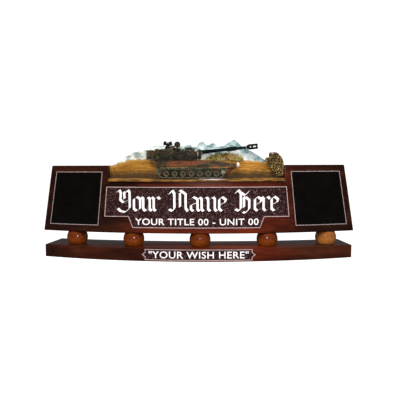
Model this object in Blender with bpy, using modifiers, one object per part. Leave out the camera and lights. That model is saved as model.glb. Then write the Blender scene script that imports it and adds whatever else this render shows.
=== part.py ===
"""Carved wooden desk plaque: a bowed name board on five turned balls and a bowed base plank,
with two black inlay panels and a carved, painted scene of a tracked howitzer on top.

World axes: +X to the viewer's right, -Y towards the viewer, +Z up. The origin is on the surface
that the plaque stands on, under the middle of its bounding box. Metres.
"""
import math

import bmesh
import bpy
from mathutils import Matrix, Vector

MM = 0.001
GAP = 0.3 * MM  # glue gap between neighbouring pieces
STATION = 18 * MM  # bowed pieces are faceted on this pitch in X

# Driving dimensions
BASE_HALF_WIDTH = 228.6 * MM
BASE_BACK_HALF_WIDTH = 222 * MM
BASE_THICKNESS = 18.4 * MM
BASE_DEPTH = 67 * MM
BASE_FRONT_Y = -12 * MM
BASE_FRONT_RADIUS = 721 * MM
BASE_BACK_RADIUS = 990 * MM
BALL_RADIUS = 15.5 * MM
BALL_HEIGHT = 19.1 * MM  # the ball is cut flat above and below
BALL_SPACING = (0, 98.5 * MM, 188 * MM)
BALL_OFFSET = 5.5 * MM  # the row of balls sits a little to the right of the middle
LABEL_OFFSET = 4 * MM  # and so does the label carved in the base
BALL_Y = 14 * MM
BOARD_RADIUS = 775 * MM
BOARD_THICKNESS = 28 * MM
BOARD_HEIGHT = 98.3 * MM
BOARD_BOTTOM_HALF = 234.4 * MM
BOARD_TOP_HALF = 217.2 * MM
NOTCH_HALF = 127 * MM
NOTCH_DEPTH = 23.1 * MM
RECESS_DEPTH = 1.6 * MM
FIELD_DEPTH = 1.3 * MM
BORDER_WIDTH = 1.4 * MM
SCREW_RADIUS = 2.1 * MM
SCREW_HEAD_RADIUS = 4.2 * MM
SCREW_BITE = 16 * MM  # how far a screw goes up into the board
SCREW_SIDES = 12

# Heights that follow from them
BASE_Z = 0.0
BASE_TOP = BASE_Z + BASE_THICKNESS
BOARD_Z = BASE_TOP + BALL_HEIGHT + 2 * GAP
BOARD_TOP = BOARD_Z + BOARD_HEIGHT
LEDGE_Z = BOARD_TOP - NOTCH_DEPTH

# Depths of the painted scene's layers, from the board's front face at the middle
GROUND_FRONT = -5 * MM
BACKDROP_FRONT = 7 * MM
BACKDROP_THICKNESS = 10 * MM
HULL_FRONT = -3 * MM
HULL_BACK = BACKDROP_FRONT - GAP
TRACK_FRONT = -2.6 * MM
TRACK_BACK = 2.4 * MM

# The vehicle, in X and in height above the ledge
TRACK_BOTTOM = LEDGE_Z + 4.6 * MM
TRACK_HEIGHT = 14 * MM
TRACK_REAR = -61 * MM
TRACK_NOSE = 49 * MM
TRACK_THICKNESS = 1.5 * MM
WHEEL_RADIUS = 4.6 * MM
WHEEL_COUNT = 7
WHEEL_PITCH = 11.9 * MM
FIRST_WHEEL_X = -41.6 * MM
END_WHEEL_RADIUS = 3.4 * MM
HULL_Z = TRACK_BOTTOM + TRACK_HEIGHT + GAP
HULL_HEIGHT = 11 * MM
TURRET_Z = HULL_Z + HULL_HEIGHT + GAP
TURRET_HEIGHT = 14 * MM
BARREL_START = Vector((6 * MM, 1.2 * MM, TURRET_Z + 11.2 * MM))
BARREL_LENGTH = 62.5 * MM
BARREL_RISE = math.radians(5.8)
BRAKE_LENGTH = 16 * MM


def clear_scene():
    for old in list(bpy.data.objects):
        bpy.data.objects.remove(old, do_unlink=True)


def collection(name):
    made = bpy.data.collections.new(name)
    bpy.context.scene.collection.children.link(made)
    return made


def material(name, colour, roughness, metallic=0.0):
    made = bpy.data.materials.new(name)
    made.use_nodes = True
    shader = made.node_tree.nodes["Principled BSDF"]
    shader.inputs["Base Color"].default_value = (*colour, 1)
    shader.inputs["Roughness"].default_value = roughness
    shader.inputs["Metallic"].default_value = metallic
    return made


clear_scene()
PARTS = collection("wooden_plaque")
CUTTERS = collection("cutters")
WOOD = material("mahogany", (0.11, 0.025, 0.012), 0.3)
BALL_WOOD = material("ball_wood", (0.35, 0.10, 0.02), 0.25)
BLACK = material("black_gloss", (0.006, 0.006, 0.006), 0.15)
SILVER_LINE = material("pale_line", (0.55, 0.47, 0.45), 0.45)
STEEL = material("steel", (0.55, 0.55, 0.56), 0.35, 1.0)
SCENERY = material("painted_scenery", (0.45, 0.28, 0.07), 0.6)
CAMOUFLAGE = material("painted_vehicle", (0.06, 0.06, 0.035), 0.55)
LAMP = material("pale_paint", (0.8, 0.65, 0.6), 0.4)


def settle(obj, group, finish=None):
    """Puts obj in its collection alone, with its material, or as a hidden cutter."""
    for holder in list(obj.users_collection):
        holder.objects.unlink(obj)
    group.objects.link(obj)
    if finish:
        obj.data.materials.clear()
        obj.data.materials.append(finish)
    else:
        obj.hide_render = True
        obj.display_type = "WIRE"
    return obj


def rounded(points, radius, steps=4):
    """A closed outline with each corner replaced by an arc of about that radius."""
    out = []
    for i, corner in enumerate(points):
        here = Vector(corner)
        before = (Vector(points[i - 1]) - here).normalized()
        after = (Vector(points[(i + 1) % len(points)]) - here).normalized()
        for k in range(steps + 1):
            t = k / steps
            out.append(tuple(here + radius * (before * (1 - t) ** 2 + after * t ** 2)))
    return out


def mirrored(right_half):
    """A closed outline from its right half, listed from the top to the bottom."""
    return right_half + [(-x, z) for x, z in reversed(right_half)]


def inset(points, distance):
    """A convex closed outline moved inwards by distance."""
    centre = sum((Vector(p) for p in points), Vector((0, 0))) / len(points)
    out = []
    for i, corner in enumerate(points):
        a, b, c = Vector(points[i - 1]), Vector(corner), Vector(points[(i + 1) % len(points)])
        normals = []
        for start, end in ((a, b), (b, c)):
            normal = (end - start).normalized().orthogonal()
            normals.append(normal if normal.dot(centre - start) > 0 else -normal)
        middle = (normals[0] + normals[1]).normalized()
        out.append(tuple(b + middle * distance / middle.dot(normals[0])))
    return out


def flat_shape(name, loops, thickness):
    """A mesh object of the 2D curve through loops, in XY and thick along Z, centred on Z = 0."""
    curve = bpy.data.curves.new(name, "CURVE")
    curve.dimensions = "2D"
    curve.fill_mode = "BOTH"
    curve.extrude = thickness / 2
    for loop in loops:
        spline = curve.splines.new("POLY")
        spline.points.add(len(loop) - 1)
        for point, (u, v) in zip(spline.points, loop):
            point.co = (u, v, 0, 1)
        spline.use_cyclic_u = True
    guide = bpy.data.objects.new(name + "_guide", curve)
    CUTTERS.objects.link(guide)
    evaluated = guide.evaluated_get(bpy.context.evaluated_depsgraph_get())
    mesh = bpy.data.meshes.new_from_object(evaluated)
    bpy.data.objects.remove(guide)
    work = bmesh.new()
    work.from_mesh(mesh)
    bmesh.ops.remove_doubles(work, verts=work.verts, dist=0.01 * MM)
    bmesh.ops.recalc_face_normals(work, faces=work.faces)
    work.to_mesh(mesh)
    work.free()
    mesh.name = name
    made = bpy.data.objects.new(name, mesh)
    PARTS.objects.link(made)
    return made


def plate(name, loops, front, back):
    """An upright plate with outlines in X and Z, from y = front to y = back."""
    made = flat_shape(name, loops, back - front)
    made.data.transform(Matrix.Rotation(math.pi / 2, 4, "X"))
    made.data.transform(Matrix.Translation((0, (front + back) / 2, 0)))
    return made


def slab(name, loop, bottom, top):
    """A level plate with its outline in X and Y."""
    made = flat_shape(name, [loop], top - bottom)
    made.data.transform(Matrix.Translation((0, 0, (bottom + top) / 2)))
    return made


def sagitta(x, radius):
    return radius - math.sqrt(radius * radius - x * x)


def bow_at(x, radius):
    """The sagitta at x along the chords between stations."""
    low = math.floor(x / STATION) * STATION
    share = (x - low) / STATION
    return sagitta(low, radius) * (1 - share) + sagitta(low + STATION, radius) * share


def bow(obj, radius):
    """Slices obj at every station and bends it round, with its middle nearest to the viewer."""
    work = bmesh.new()
    work.from_mesh(obj.data)
    bmesh.ops.triangulate(work, faces=work.faces)
    reach = max(abs(v.co.x) for v in work.verts)
    count = math.floor(reach / STATION)
    for i in range(-count, count + 1):
        everything = [*work.verts, *work.edges, *work.faces]
        plane = (i * STATION, 0, 0)
        bmesh.ops.bisect_plane(work, geom=everything, dist=0.02 * MM, plane_co=plane, plane_no=(1, 0, 0))
    bmesh.ops.remove_doubles(work, verts=work.verts, dist=0.02 * MM)
    for v in work.verts:
        v.co.y += bow_at(v.co.x, radius)
    bmesh.ops.recalc_face_normals(work, faces=work.faces)
    work.to_mesh(obj.data)
    work.free()
    return obj


def subtract(obj, cutter):
    settle(cutter, CUTTERS)
    change = obj.modifiers.new("cut_" + cutter.name, "BOOLEAN")
    change.operation = "DIFFERENCE"
    change.object = cutter


def join(obj, added):
    settle(added, CUTTERS)
    change = obj.modifiers.new("join_" + added.name, "BOOLEAN")
    change.operation = "UNION"
    change.object = added


def apply_modifiers(obj):
    bpy.context.view_layer.update()
    evaluated = obj.evaluated_get(bpy.context.evaluated_depsgraph_get())
    mesh = bpy.data.meshes.new_from_object(evaluated)
    obj.modifiers.clear()
    obj.data = mesh


def soften(obj, width, angle=40):
    edge = obj.modifiers.new("softened_edges", "BEVEL")
    edge.width = width
    edge.segments = 1
    edge.limit_method = "ANGLE"
    edge.angle_limit = math.radians(angle)


def turned(name, profile, steps, closed=False):
    """Revolves a profile of (radius, height) points about Z, listed down its outer side."""
    mesh = bpy.data.meshes.new(name)
    points = [(r, 0, z) for r, z in profile]
    edges = [(i, i + 1) for i in range(len(points) - 1)]
    if closed:
        edges.append((len(points) - 1, 0))
    mesh.from_pydata(points, edges, [])
    made = bpy.data.objects.new(name, mesh)
    PARTS.objects.link(made)
    spin = made.modifiers.new("turning", "SCREW")
    spin.steps = steps
    spin.render_steps = steps
    spin.use_merge_vertices = True
    spin.merge_threshold = 0.00001
    spin.use_smooth_shade = True
    return made


def block(name, size, centre, finish=None, turn=0.0):
    """A box of that size, turned about Y by an angle."""
    bpy.ops.mesh.primitive_cube_add(size=1)
    made = bpy.context.object
    made.name = made.data.name = name
    made.data.transform(Matrix.Diagonal((*size, 1)))
    made.rotation_euler = (0, turn, 0)
    made.location = centre
    return settle(made, PARTS, finish)


def disc(name, radius, depth, centre, axis="Y", sides=20, finish=None, top_radius=None):
    """A cylinder or cone along one axis."""
    bpy.ops.mesh.primitive_cone_add(
        vertices=sides, radius1=radius, radius2=radius if top_radius is None else top_radius, depth=depth
    )
    made = bpy.context.object
    made.name = made.data.name = name
    turns = {"X": Matrix.Rotation(math.pi / 2, 4, "Y"), "Y": Matrix.Rotation(math.pi / 2, 4, "X")}
    if axis in turns:
        made.data.transform(turns[axis])
    made.location = centre
    return settle(made, PARTS, finish)


def ball_centres():
    xs = sorted(BALL_OFFSET + x for x in {-x for x in BALL_SPACING} | set(BALL_SPACING))
    return [Vector((x, BALL_Y + sagitta(x, BOARD_RADIUS), 0)) for x in xs]


def screw_profile(grown):
    """A countersunk wood screw from its point down to its head, or its hole when grown."""
    tip = BOARD_Z + SCREW_BITE + grown
    head = BASE_Z + 1.0 * MM - (2.0 * MM if grown else 0)
    neck = BASE_Z + 1.0 * MM + 3.2 * MM
    shank = SCREW_RADIUS + grown
    rim = SCREW_HEAD_RADIUS + grown
    return [(0, tip), (shank, tip - 5 * MM), (shank, neck), (rim, BASE_Z + 1.0 * MM), (rim, head), (0, head)]


def base_outline():
    """The plank from above: a front arc, straight ends and a flatter back arc."""
    front, back = [], []
    count = math.floor(BASE_HALF_WIDTH / STATION)
    xs = [i * STATION for i in range(-count, count + 1)]
    for x in [-BASE_HALF_WIDTH, *xs, BASE_HALF_WIDTH]:
        front.append((x, BASE_FRONT_Y + bow_at(x, BASE_FRONT_RADIUS)))
    for x in [-BASE_BACK_HALF_WIDTH, *xs, BASE_BACK_HALF_WIDTH]:
        back.append((x, BASE_FRONT_Y + BASE_DEPTH + sagitta(x, BASE_BACK_RADIUS)))
    back.sort(reverse=True)
    return front + back


def cartouche(half, rise, point):
    """A label outline with a pointed brace at each end."""
    notch = 2.2 * MM
    right = [(half, rise), (half - notch * 0.4, rise * 0.45), (half + point, 0)]
    right += [(half - notch * 0.4, -rise * 0.45), (half, -rise)]
    return mirrored(right)


def make_base():
    base = slab("base_plank", base_outline(), BASE_Z, BASE_TOP)
    middle = BASE_Z + BASE_THICKNESS / 2
    label = [(x + LABEL_OFFSET, z + middle) for x, z in cartouche(78 * MM, 7.9 * MM, 3.2 * MM)]
    front = BASE_FRONT_Y - 3 * MM
    cutter = plate("base_field_cutter", [label], front, BASE_FRONT_Y + FIELD_DEPTH)
    subtract(base, bow(cutter, BASE_FRONT_RADIUS))
    for i, centre in enumerate(ball_centres(), 1):
        hole = turned(f"screw_hole_{i}", screw_profile(GAP), SCREW_SIDES)
        hole.location = centre
        subtract(base, hole)
    settle(base, PARTS, WOOD)


def make_balls():
    """Turned balls with flats and a bore, sharing one mesh."""
    half = BALL_HEIGHT / 2
    reach = math.asin(half / BALL_RADIUS)
    arc = [reach * (1 - k / 5) for k in range(11)]
    bore = SCREW_RADIUS + GAP
    profile = [(bore, half)]
    profile += [(BALL_RADIUS * math.cos(a), BALL_RADIUS * math.sin(a)) for a in arc]
    profile.append((bore, -half))
    shared = None
    for i, centre in enumerate(ball_centres(), 1):
        ball = turned(f"ball_post_{i}", profile, 24, closed=True)
        if shared is None:
            shared = ball.data
        ball.data = shared
        ball.location = centre + Vector((0, 0, BASE_TOP + GAP + half))
        settle(ball, PARTS, BALL_WOOD)
        screw = turned(f"post_screw_{i}", screw_profile(0), SCREW_SIDES)
        screw.location = centre
        settle(screw, PARTS, STEEL)


def board_outline():
    right = [(NOTCH_HALF, LEDGE_Z), (NOTCH_HALF, BOARD_TOP), (BOARD_TOP_HALF, BOARD_TOP)]
    return mirrored([*right, (BOARD_BOTTOM_HALF, BOARD_Z)])


def name_field_outline():
    """The carved field under the name, with its lower step for the second line."""
    z = BOARD_Z
    right = [(130.6, 67.2), (134.7, 23.4), (98.3, 23.9), (92.2, 8.0)]
    return mirrored([(x * MM, z + h * MM) for x, h in right])


def panel_outline(side):
    """The border of an inlay panel, leaning with the board's end."""
    corners = [(136.2, 89.4), (209.7, 89.4), (223.2, 10.4), (144.5, 10.4)]
    return [(side * x * MM, BOARD_Z + h * MM) for x, h in corners]


def make_board():
    board = plate("name_board", [board_outline()], 0, BOARD_THICKNESS)
    field = plate("name_field_cutter", [name_field_outline()], -2 * MM, FIELD_DEPTH)
    subtract(board, field)
    for label, side in (("left", -1), ("right", 1)):
        recess = inset(panel_outline(side), -GAP)
        subtract(board, plate(f"{label}_recess_cutter", [recess], -2 * MM, RECESS_DEPTH))
    apply_modifiers(board)
    bow(board, BOARD_RADIUS)
    for i, centre in enumerate(ball_centres(), 1):
        hole = disc(f"pilot_cutter_{i}", SCREW_RADIUS + GAP, 2 * SCREW_BITE + 2 * MM,
                    (centre.x, centre.y, BOARD_Z), "Z", SCREW_SIDES, WOOD)
        subtract(board, hole)
    settle(board, PARTS, WOOD)


def make_inlays():
    for label, side in (("left", -1), ("right", 1)):
        outer = panel_outline(side)
        inner = inset(outer, BORDER_WIDTH)
        border = plate(f"{label}_inlay_border", [outer, inner], -0.3 * MM, RECESS_DEPTH - GAP)
        settle(bow(border, BOARD_RADIUS), PARTS, SILVER_LINE)
        panel = plate(f"{label}_inlay_panel", [inset(inner, GAP)], 0.2 * MM, RECESS_DEPTH - GAP)
        settle(bow(panel, BOARD_RADIUS), PARTS, BLACK)


def above_ledge(points):
    return [(x * MM, LEDGE_Z + h * MM) for x, h in points]


def make_scenery():
    """The painted backdrop with its skyline, the ground bar, a bush and a tree."""
    edge = (NOTCH_HALF - GAP) / MM
    skyline = [(-edge, 22), (-111, 29), (-99, 37.6), (-90, 42), (-75, 44.8), (-60, 51), (-46, 51.2),
               (-18, 50.3), (-8, 52.4), (-5, 48.8), (1, 49.5), (5, 55), (10, 56.6), (15, 52.3),
               (19, 51.6), (23, 54.3), (27, 54), (30, 49.4), (40, 50), (48, 55.8), (55, 59.3),
               (60, 55.8), (65, 50.6), (80, 42.6), (87, 38.1), (97, 31.6), (104, 27.5), (edge, 24)]
    outline = above_ledge([(-edge, 0.3), *skyline, (edge, 0.3)])
    backdrop = plate("scene_backdrop", [outline], BACKDROP_FRONT, BACKDROP_FRONT + BACKDROP_THICKNESS)
    settle(bow(backdrop, BOARD_RADIUS), PARTS, SCENERY)
    hills = [(-edge, 5.5), (-90, 4.6), (-62, 4.0), (50, 4.0), (80, 4.8), (edge, 5.2)]
    ground = plate("scene_ground", [above_ledge([(-edge, 0.3), *hills, (edge, 0.3)])],
                   GROUND_FRONT, BACKDROP_FRONT - GAP)
    settle(bow(ground, BOARD_RADIUS), PARTS, SCENERY)
    leaves = [(13, 31.2), (12.5, 36.5), (25, 40.5), (42, 42.5), (57, 40), (70, 33), (68, 29), (61.5, 26.5)]
    bush = plate("scene_bush", [above_ledge([*leaves, (34, 31.2)])], 3.4 * MM, BACKDROP_FRONT - GAP)
    settle(bow(bush, BOARD_RADIUS), PARTS, SCENERY)
    crown = [(97.5, 31), (101, 34), (105, 34), (105.5, 40.5), (110, 42), (116, 40), (121, 36), (124.5, 30),
             (125.5, 20), (125, 6), (116, 6), (113, 12), (106, 18), (103, 26)]
    tree = plate("scene_tree", [above_ledge(crown)], -3 * MM, BACKDROP_FRONT - GAP)
    settle(bow(tree, BOARD_RADIUS), PARTS, SCENERY)


def make_hull():
    """Sponson over the tracks, sloping nose, and the lower tub behind the wheels."""
    z, top = HULL_Z, HULL_Z + HULL_HEIGHT
    side = [(-55 * MM, z), (-55 * MM, top), (30 * MM, top), (57 * MM, z + 6 * MM), (58 * MM, z + 1 * MM)]
    hull = plate("howitzer_hull", [[*side, (50 * MM, z)]], HULL_FRONT, HULL_BACK)
    tub_front = TRACK_BACK + GAP
    tub_side = [(-53 * MM, z + 2 * MM), (54 * MM, z + 2 * MM), (46 * MM, z - 9 * MM), (-48 * MM, z - 9 * MM)]
    tub = plate("hull_tub", [tub_side], tub_front, HULL_BACK)
    join(hull, tub)
    settle(hull, PARTS, CAMOUFLAGE)


def make_running_gear():
    low, high = TRACK_BOTTOM, TRACK_BOTTOM + TRACK_HEIGHT
    loop = [(TRACK_REAR, high), (TRACK_NOSE, high), (TRACK_NOSE - 9 * MM, low), (TRACK_REAR + 9 * MM, low)]
    outer = rounded(loop, 5.5 * MM)
    inner = rounded(inset(loop, TRACK_THICKNESS), 4.5 * MM)
    band = plate("track_band", [outer, inner], TRACK_FRONT, TRACK_BACK)
    settle(band, PARTS, CAMOUFLAGE)
    middle = (TRACK_FRONT + TRACK_BACK) / 2
    width = TRACK_BACK - TRACK_FRONT
    axle_z = low + TRACK_THICKNESS + GAP + WHEEL_RADIUS
    for i in range(WHEEL_COUNT):
        x = FIRST_WHEEL_X + i * WHEEL_PITCH
        wheel = disc(f"road_wheel_{i + 1}", WHEEL_RADIUS, width, (x, middle, axle_z), finish=CAMOUFLAGE)
        place = (x, TRACK_FRONT, axle_z)
        dish = disc(f"dish_cutter_{i + 1}", WHEEL_RADIUS * 0.66, 2 * MM, place, finish=STEEL)
        subtract(wheel, dish)
    end_z = high - TRACK_THICKNESS - GAP - END_WHEEL_RADIUS - 0.3 * MM
    for name, x in (("idler_wheel", TRACK_REAR + 10 * MM), ("drive_sprocket", TRACK_NOSE - 10 * MM)):
        disc(name, END_WHEEL_RADIUS, width, (x, middle, end_z), finish=CAMOUFLAGE)


def make_turret():
    """Cast turret side with its stowage, cupola, open hatch and machine gun."""
    z, top = TURRET_Z, TURRET_Z + TURRET_HEIGHT
    side = [(-58, 0), (-58, 15.4), (-34.4, 15.4), (-33.8, 14), (-4, 14), (2, 11.6), (3.2, 3), (1, 0)]
    outline = [(x * MM, z + h * MM) for x, h in side]
    turret = plate("howitzer_turret", [outline], HULL_FRONT + 0.6 * MM, HULL_BACK)
    soften(turret, 0.6 * MM)
    settle(turret, PARTS, CAMOUFLAGE)
    rack_size = (11.4 * MM, 8.5 * MM, 14 * MM)
    rack = block("bustle_rack", rack_size, (-64.2 * MM, 2 * MM, z + 7.8 * MM), CAMOUFLAGE)
    soften(rack, 0.5 * MM)
    bin_size = (15 * MM, 2.2 * MM, 7 * MM)
    bin_y = HULL_FRONT + 0.6 * MM - GAP - bin_size[1] / 2
    block("stowage_bin", bin_size, (-44 * MM, bin_y, z + 5.5 * MM), CAMOUFLAGE)
    cupola_place = (-27 * MM, 0.5 * MM, top + GAP + 1.5 * MM)
    disc("commander_cupola", 6.2 * MM, 3 * MM, cupola_place, "Z", 20, CAMOUFLAGE)
    cupola_top = top + GAP + 3 * MM + GAP
    disc("open_hatch", 4.4 * MM, 1.6 * MM, (-25.6 * MM, -1 * MM, cupola_top + 4.4 * MM), "Y", 24, CAMOUFLAGE)
    gun_foot = z + 15.4 * MM + GAP
    gun = block("machine_gun", (8 * MM, 5 * MM, 5 * MM), (-39 * MM, 1 * MM, gun_foot + 2.5 * MM), CAMOUFLAGE)
    for k, (x, rise, size, turn) in enumerate((
        (-39.0, 6.6, (13.4, 2.8, 4.0), 0.12),
        (-35.0, 8.6, (4.6, 3.4, 5), -0.35),
        (-43.2, 9.0, (4.4, 3, 5), 0.45),
    ), 1):
        place = (x * MM, 1 * MM, gun_foot + rise * MM)
        join(gun, block(f"gun_block_{k}", [side * MM for side in size], place, WOOD, turn))
    block("sight_head", (11 * MM, 4.4 * MM, 4 * MM), (-10.2 * MM, 1.5 * MM, top + GAP + 2 * MM), CAMOUFLAGE)


def make_gun():
    """Mantlet, one-piece barrel with its fume extractor, and the muzzle brake with its windows."""
    side = [(3.8, 1.2), (3.8, 14.4), (8.8, 14.0), (8.8, 8.8), (7.6, 1.8)]
    outline = [(x * MM, TURRET_Z + h * MM) for x, h in side]
    mantlet = plate("gun_mantlet", [outline], HULL_FRONT + 1 * MM, HULL_BACK)
    soften(mantlet, 0.6 * MM)
    settle(mantlet, PARTS, CAMOUFLAGE)
    along = Vector((math.cos(BARREL_RISE), 0, math.sin(BARREL_RISE)))
    start = BARREL_START + along * 3.4 * MM
    run = BARREL_LENGTH
    profile = [(0, run), (1.6, run), (1.7, 49 * MM), (2.9, 46 * MM), (2.9, 37 * MM)]
    profile += [(1.9, 34 * MM), (2.4, 0), (0, 0)]
    profile = [(r * MM, h) for r, h in profile]
    barrel = turned("gun_barrel", profile, 16)
    barrel.location = start
    barrel.rotation_euler = (0, math.pi / 2 - BARREL_RISE, 0)
    settle(barrel, PARTS, CAMOUFLAGE)
    middle = start + along * (run + GAP + BRAKE_LENGTH / 2)
    brake = block("muzzle_brake", (BRAKE_LENGTH, 4.4 * MM, 7.4 * MM), middle, CAMOUFLAGE, -BARREL_RISE)
    soften(brake, 0.7 * MM)
    apply_modifiers(brake)
    for i, (offset, width) in enumerate(((-2.4, 2.6), (3.4, 4.8)), 1):
        place = middle + along * offset * MM
        window = block(f"brake_window_{i}", (width * MM, 8 * MM, 3.0 * MM), place, CAMOUFLAGE, -BARREL_RISE)
        subtract(brake, window)


def recentre():
    """Moves everything back so that the origin is under the middle of the bounding box."""
    back = BASE_FRONT_Y + BASE_DEPTH + sagitta(BASE_BACK_HALF_WIDTH, BASE_BACK_RADIUS)
    for group in (PARTS, CUTTERS):
        for obj in group.objects:
            obj.location.y -= (BASE_FRONT_Y + back) / 2
    bpy.context.view_layer.update()


def make_lamp():
    disc("head_lamp", 3.9 * MM, 4 * MM, (60.4 * MM, 0.5 * MM, HULL_Z + 4.4 * MM), "X", 20, LAMP, 3.2 * MM)


make_base()
make_balls()
make_board()
make_inlays()
make_scenery()
make_hull()
make_running_gear()
make_turret()
make_gun()
make_lamp()
recentre()
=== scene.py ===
"""Looks of the carved wooden desk plaque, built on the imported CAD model.

The bowed board, base, inlays, lettering and painted scene are made as finer pieces that ride on
the CAD body, and the howitzer's carved details are added on and around its CAD blocks.
"""
import math
import random

import bmesh
import bpy
from mathutils import Matrix, Quaternion, Vector, noise


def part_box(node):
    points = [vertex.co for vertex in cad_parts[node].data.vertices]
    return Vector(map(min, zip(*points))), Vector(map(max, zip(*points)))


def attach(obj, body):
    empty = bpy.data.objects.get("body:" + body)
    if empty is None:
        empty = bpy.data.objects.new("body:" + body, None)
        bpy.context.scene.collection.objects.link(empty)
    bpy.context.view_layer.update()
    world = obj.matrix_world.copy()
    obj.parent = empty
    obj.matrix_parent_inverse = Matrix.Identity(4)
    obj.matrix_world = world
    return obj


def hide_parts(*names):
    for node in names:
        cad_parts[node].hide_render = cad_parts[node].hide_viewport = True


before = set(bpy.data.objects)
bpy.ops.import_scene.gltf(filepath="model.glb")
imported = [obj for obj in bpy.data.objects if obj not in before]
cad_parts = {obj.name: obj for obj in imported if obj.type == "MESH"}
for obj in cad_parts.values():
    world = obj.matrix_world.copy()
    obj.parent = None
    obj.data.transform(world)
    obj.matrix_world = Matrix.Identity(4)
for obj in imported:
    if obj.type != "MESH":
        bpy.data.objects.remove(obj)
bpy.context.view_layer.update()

MM = 0.001  # every length is in millimetres until its mesh, place or modifier is made
BOARD_RADIUS = 775
BOARD_DEPTH = 28
BOARD_TAPER = 17.2  # how much narrower each half of the board is at its top
BASE_RADIUS = 721
BASE_BACK_RADIUS = 990
CARVED = 1.3  # depth of the fields that hold lettering
SEAT = 1.6  # depth of the seats that hold the black sheets
LINE = 0.85  # width of the pale lines
PUNCH_PITCH = 1.6  # from one punched dot to the next
PUNCH_GRID = 0.5  # mesh size of a punched floor
GAP = 0.3
LABEL_X = 4  # the base label sits a little to the right of the middle
BALLS = range(1, 6)



def box(name):
    """The corners of a CAD node's box, in millimetres."""
    low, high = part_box(name)
    return low / MM, high / MM


board_low, board_high = box("name_board")
base_low, base_high = box("base_plank")
drop_low, drop_high = box("scene_backdrop")
FACE = board_low.y  # the board's front face at the middle
LEDGE = drop_low.z - GAP
BASE_FACE = base_low.y


def sagitta(x, radius):
    return radius - math.sqrt(radius * radius - x * x)


def smooth(low, high, value):
    t = min(1.0, max(0.0, (value - low) / (high - low)))
    return t * t * (3 - 2 * t)


def mix(a, b, t):
    return tuple(p + (q - p) * t for p, q in zip(a, b))


# ---------------------------------------------------------------- materials


class Paint:
    """A node material, built up one node at a time."""

    def __init__(self, name, roughness=0.4, coat=0.0, metallic=0.0):
        self.material = bpy.data.materials.new(name)
        self.material.use_nodes = True
        self.tree = self.material.node_tree
        self.shader = self.tree.nodes["Principled BSDF"]
        self.shader.inputs["Roughness"].default_value = roughness
        self.shader.inputs["Metallic"].default_value = metallic
        self.shader.inputs["Coat Weight"].default_value = coat
        self.shader.inputs["Coat Roughness"].default_value = 0.12
        self.place = self.add("ShaderNodeTexCoord").outputs["Object"]

    def add(self, kind, **settings):
        node = self.tree.nodes.new(kind)
        for key, value in settings.items():
            if key in node.inputs:
                node.inputs[key].default_value = value
            else:
                setattr(node, key, value)
        return node

    def link(self, source, target):
        self.tree.links.new(source, target)

    def noise(self, scale, detail=4.0, stretch=(1, 1, 1), distortion=0.0, shift=0.0):
        mapping = self.add("ShaderNodeMapping")
        mapping.inputs["Scale"].default_value = stretch
        mapping.inputs["Location"].default_value = (shift, 0, 0)
        self.link(self.place, mapping.inputs["Vector"])
        node = self.add("ShaderNodeTexNoise", Scale=scale, Detail=detail, Distortion=distortion)
        self.link(mapping.outputs["Vector"], node.inputs["Vector"])
        return node.outputs["Fac"]

    def ramp(self, value, stops):
        node = self.add("ShaderNodeValToRGB")
        elements = node.color_ramp.elements
        while len(elements) < len(stops):
            elements.new(0.5)
        for element, (position, colour) in zip(elements, stops):
            element.position = position
            element.color = (*colour, 1)
        self.link(value, node.inputs["Fac"])
        return node.outputs["Color"]

    def blend(self, factor, a, b, mode="MIX"):
        node = self.add("ShaderNodeMix", data_type="RGBA", blend_type=mode)
        sockets = {"Factor": factor, "A": a, "B": b}
        for name, value in sockets.items():
            kind = "VALUE" if name == "Factor" else "RGBA"
            socket = [s for s in node.inputs if s.name == name and s.type == kind][0]
            if hasattr(value, "is_output"):
                self.link(value, socket)
            elif kind == "VALUE":
                socket.default_value = value
            else:
                socket.default_value = (*value, 1)
        return [s for s in node.outputs if s.type == "RGBA"][0]

    def sum(self, a, b, operation="ADD"):
        node = self.add("ShaderNodeMath", operation=operation)
        for socket, value in zip(node.inputs, (a, b)):
            if hasattr(value, "is_output"):
                self.link(value, socket)
            else:
                socket.default_value = value
        return node.outputs[0]

    def colour(self, source):
        self.link(source, self.shader.inputs["Base Color"])

    def rough(self, value, low, high):
        node = self.add("ShaderNodeMapRange")
        node.inputs["To Min"].default_value = low
        node.inputs["To Max"].default_value = high
        self.link(value, node.inputs["Value"])
        self.link(node.outputs["Result"], self.shader.inputs["Roughness"])

    def bump(self, value, strength, distance):
        node = self.add("ShaderNodeBump", Strength=strength, Distance=distance * MM)
        self.link(value, node.inputs["Height"])
        self.link(node.outputs["Normal"], self.shader.inputs["Normal"])


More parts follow.
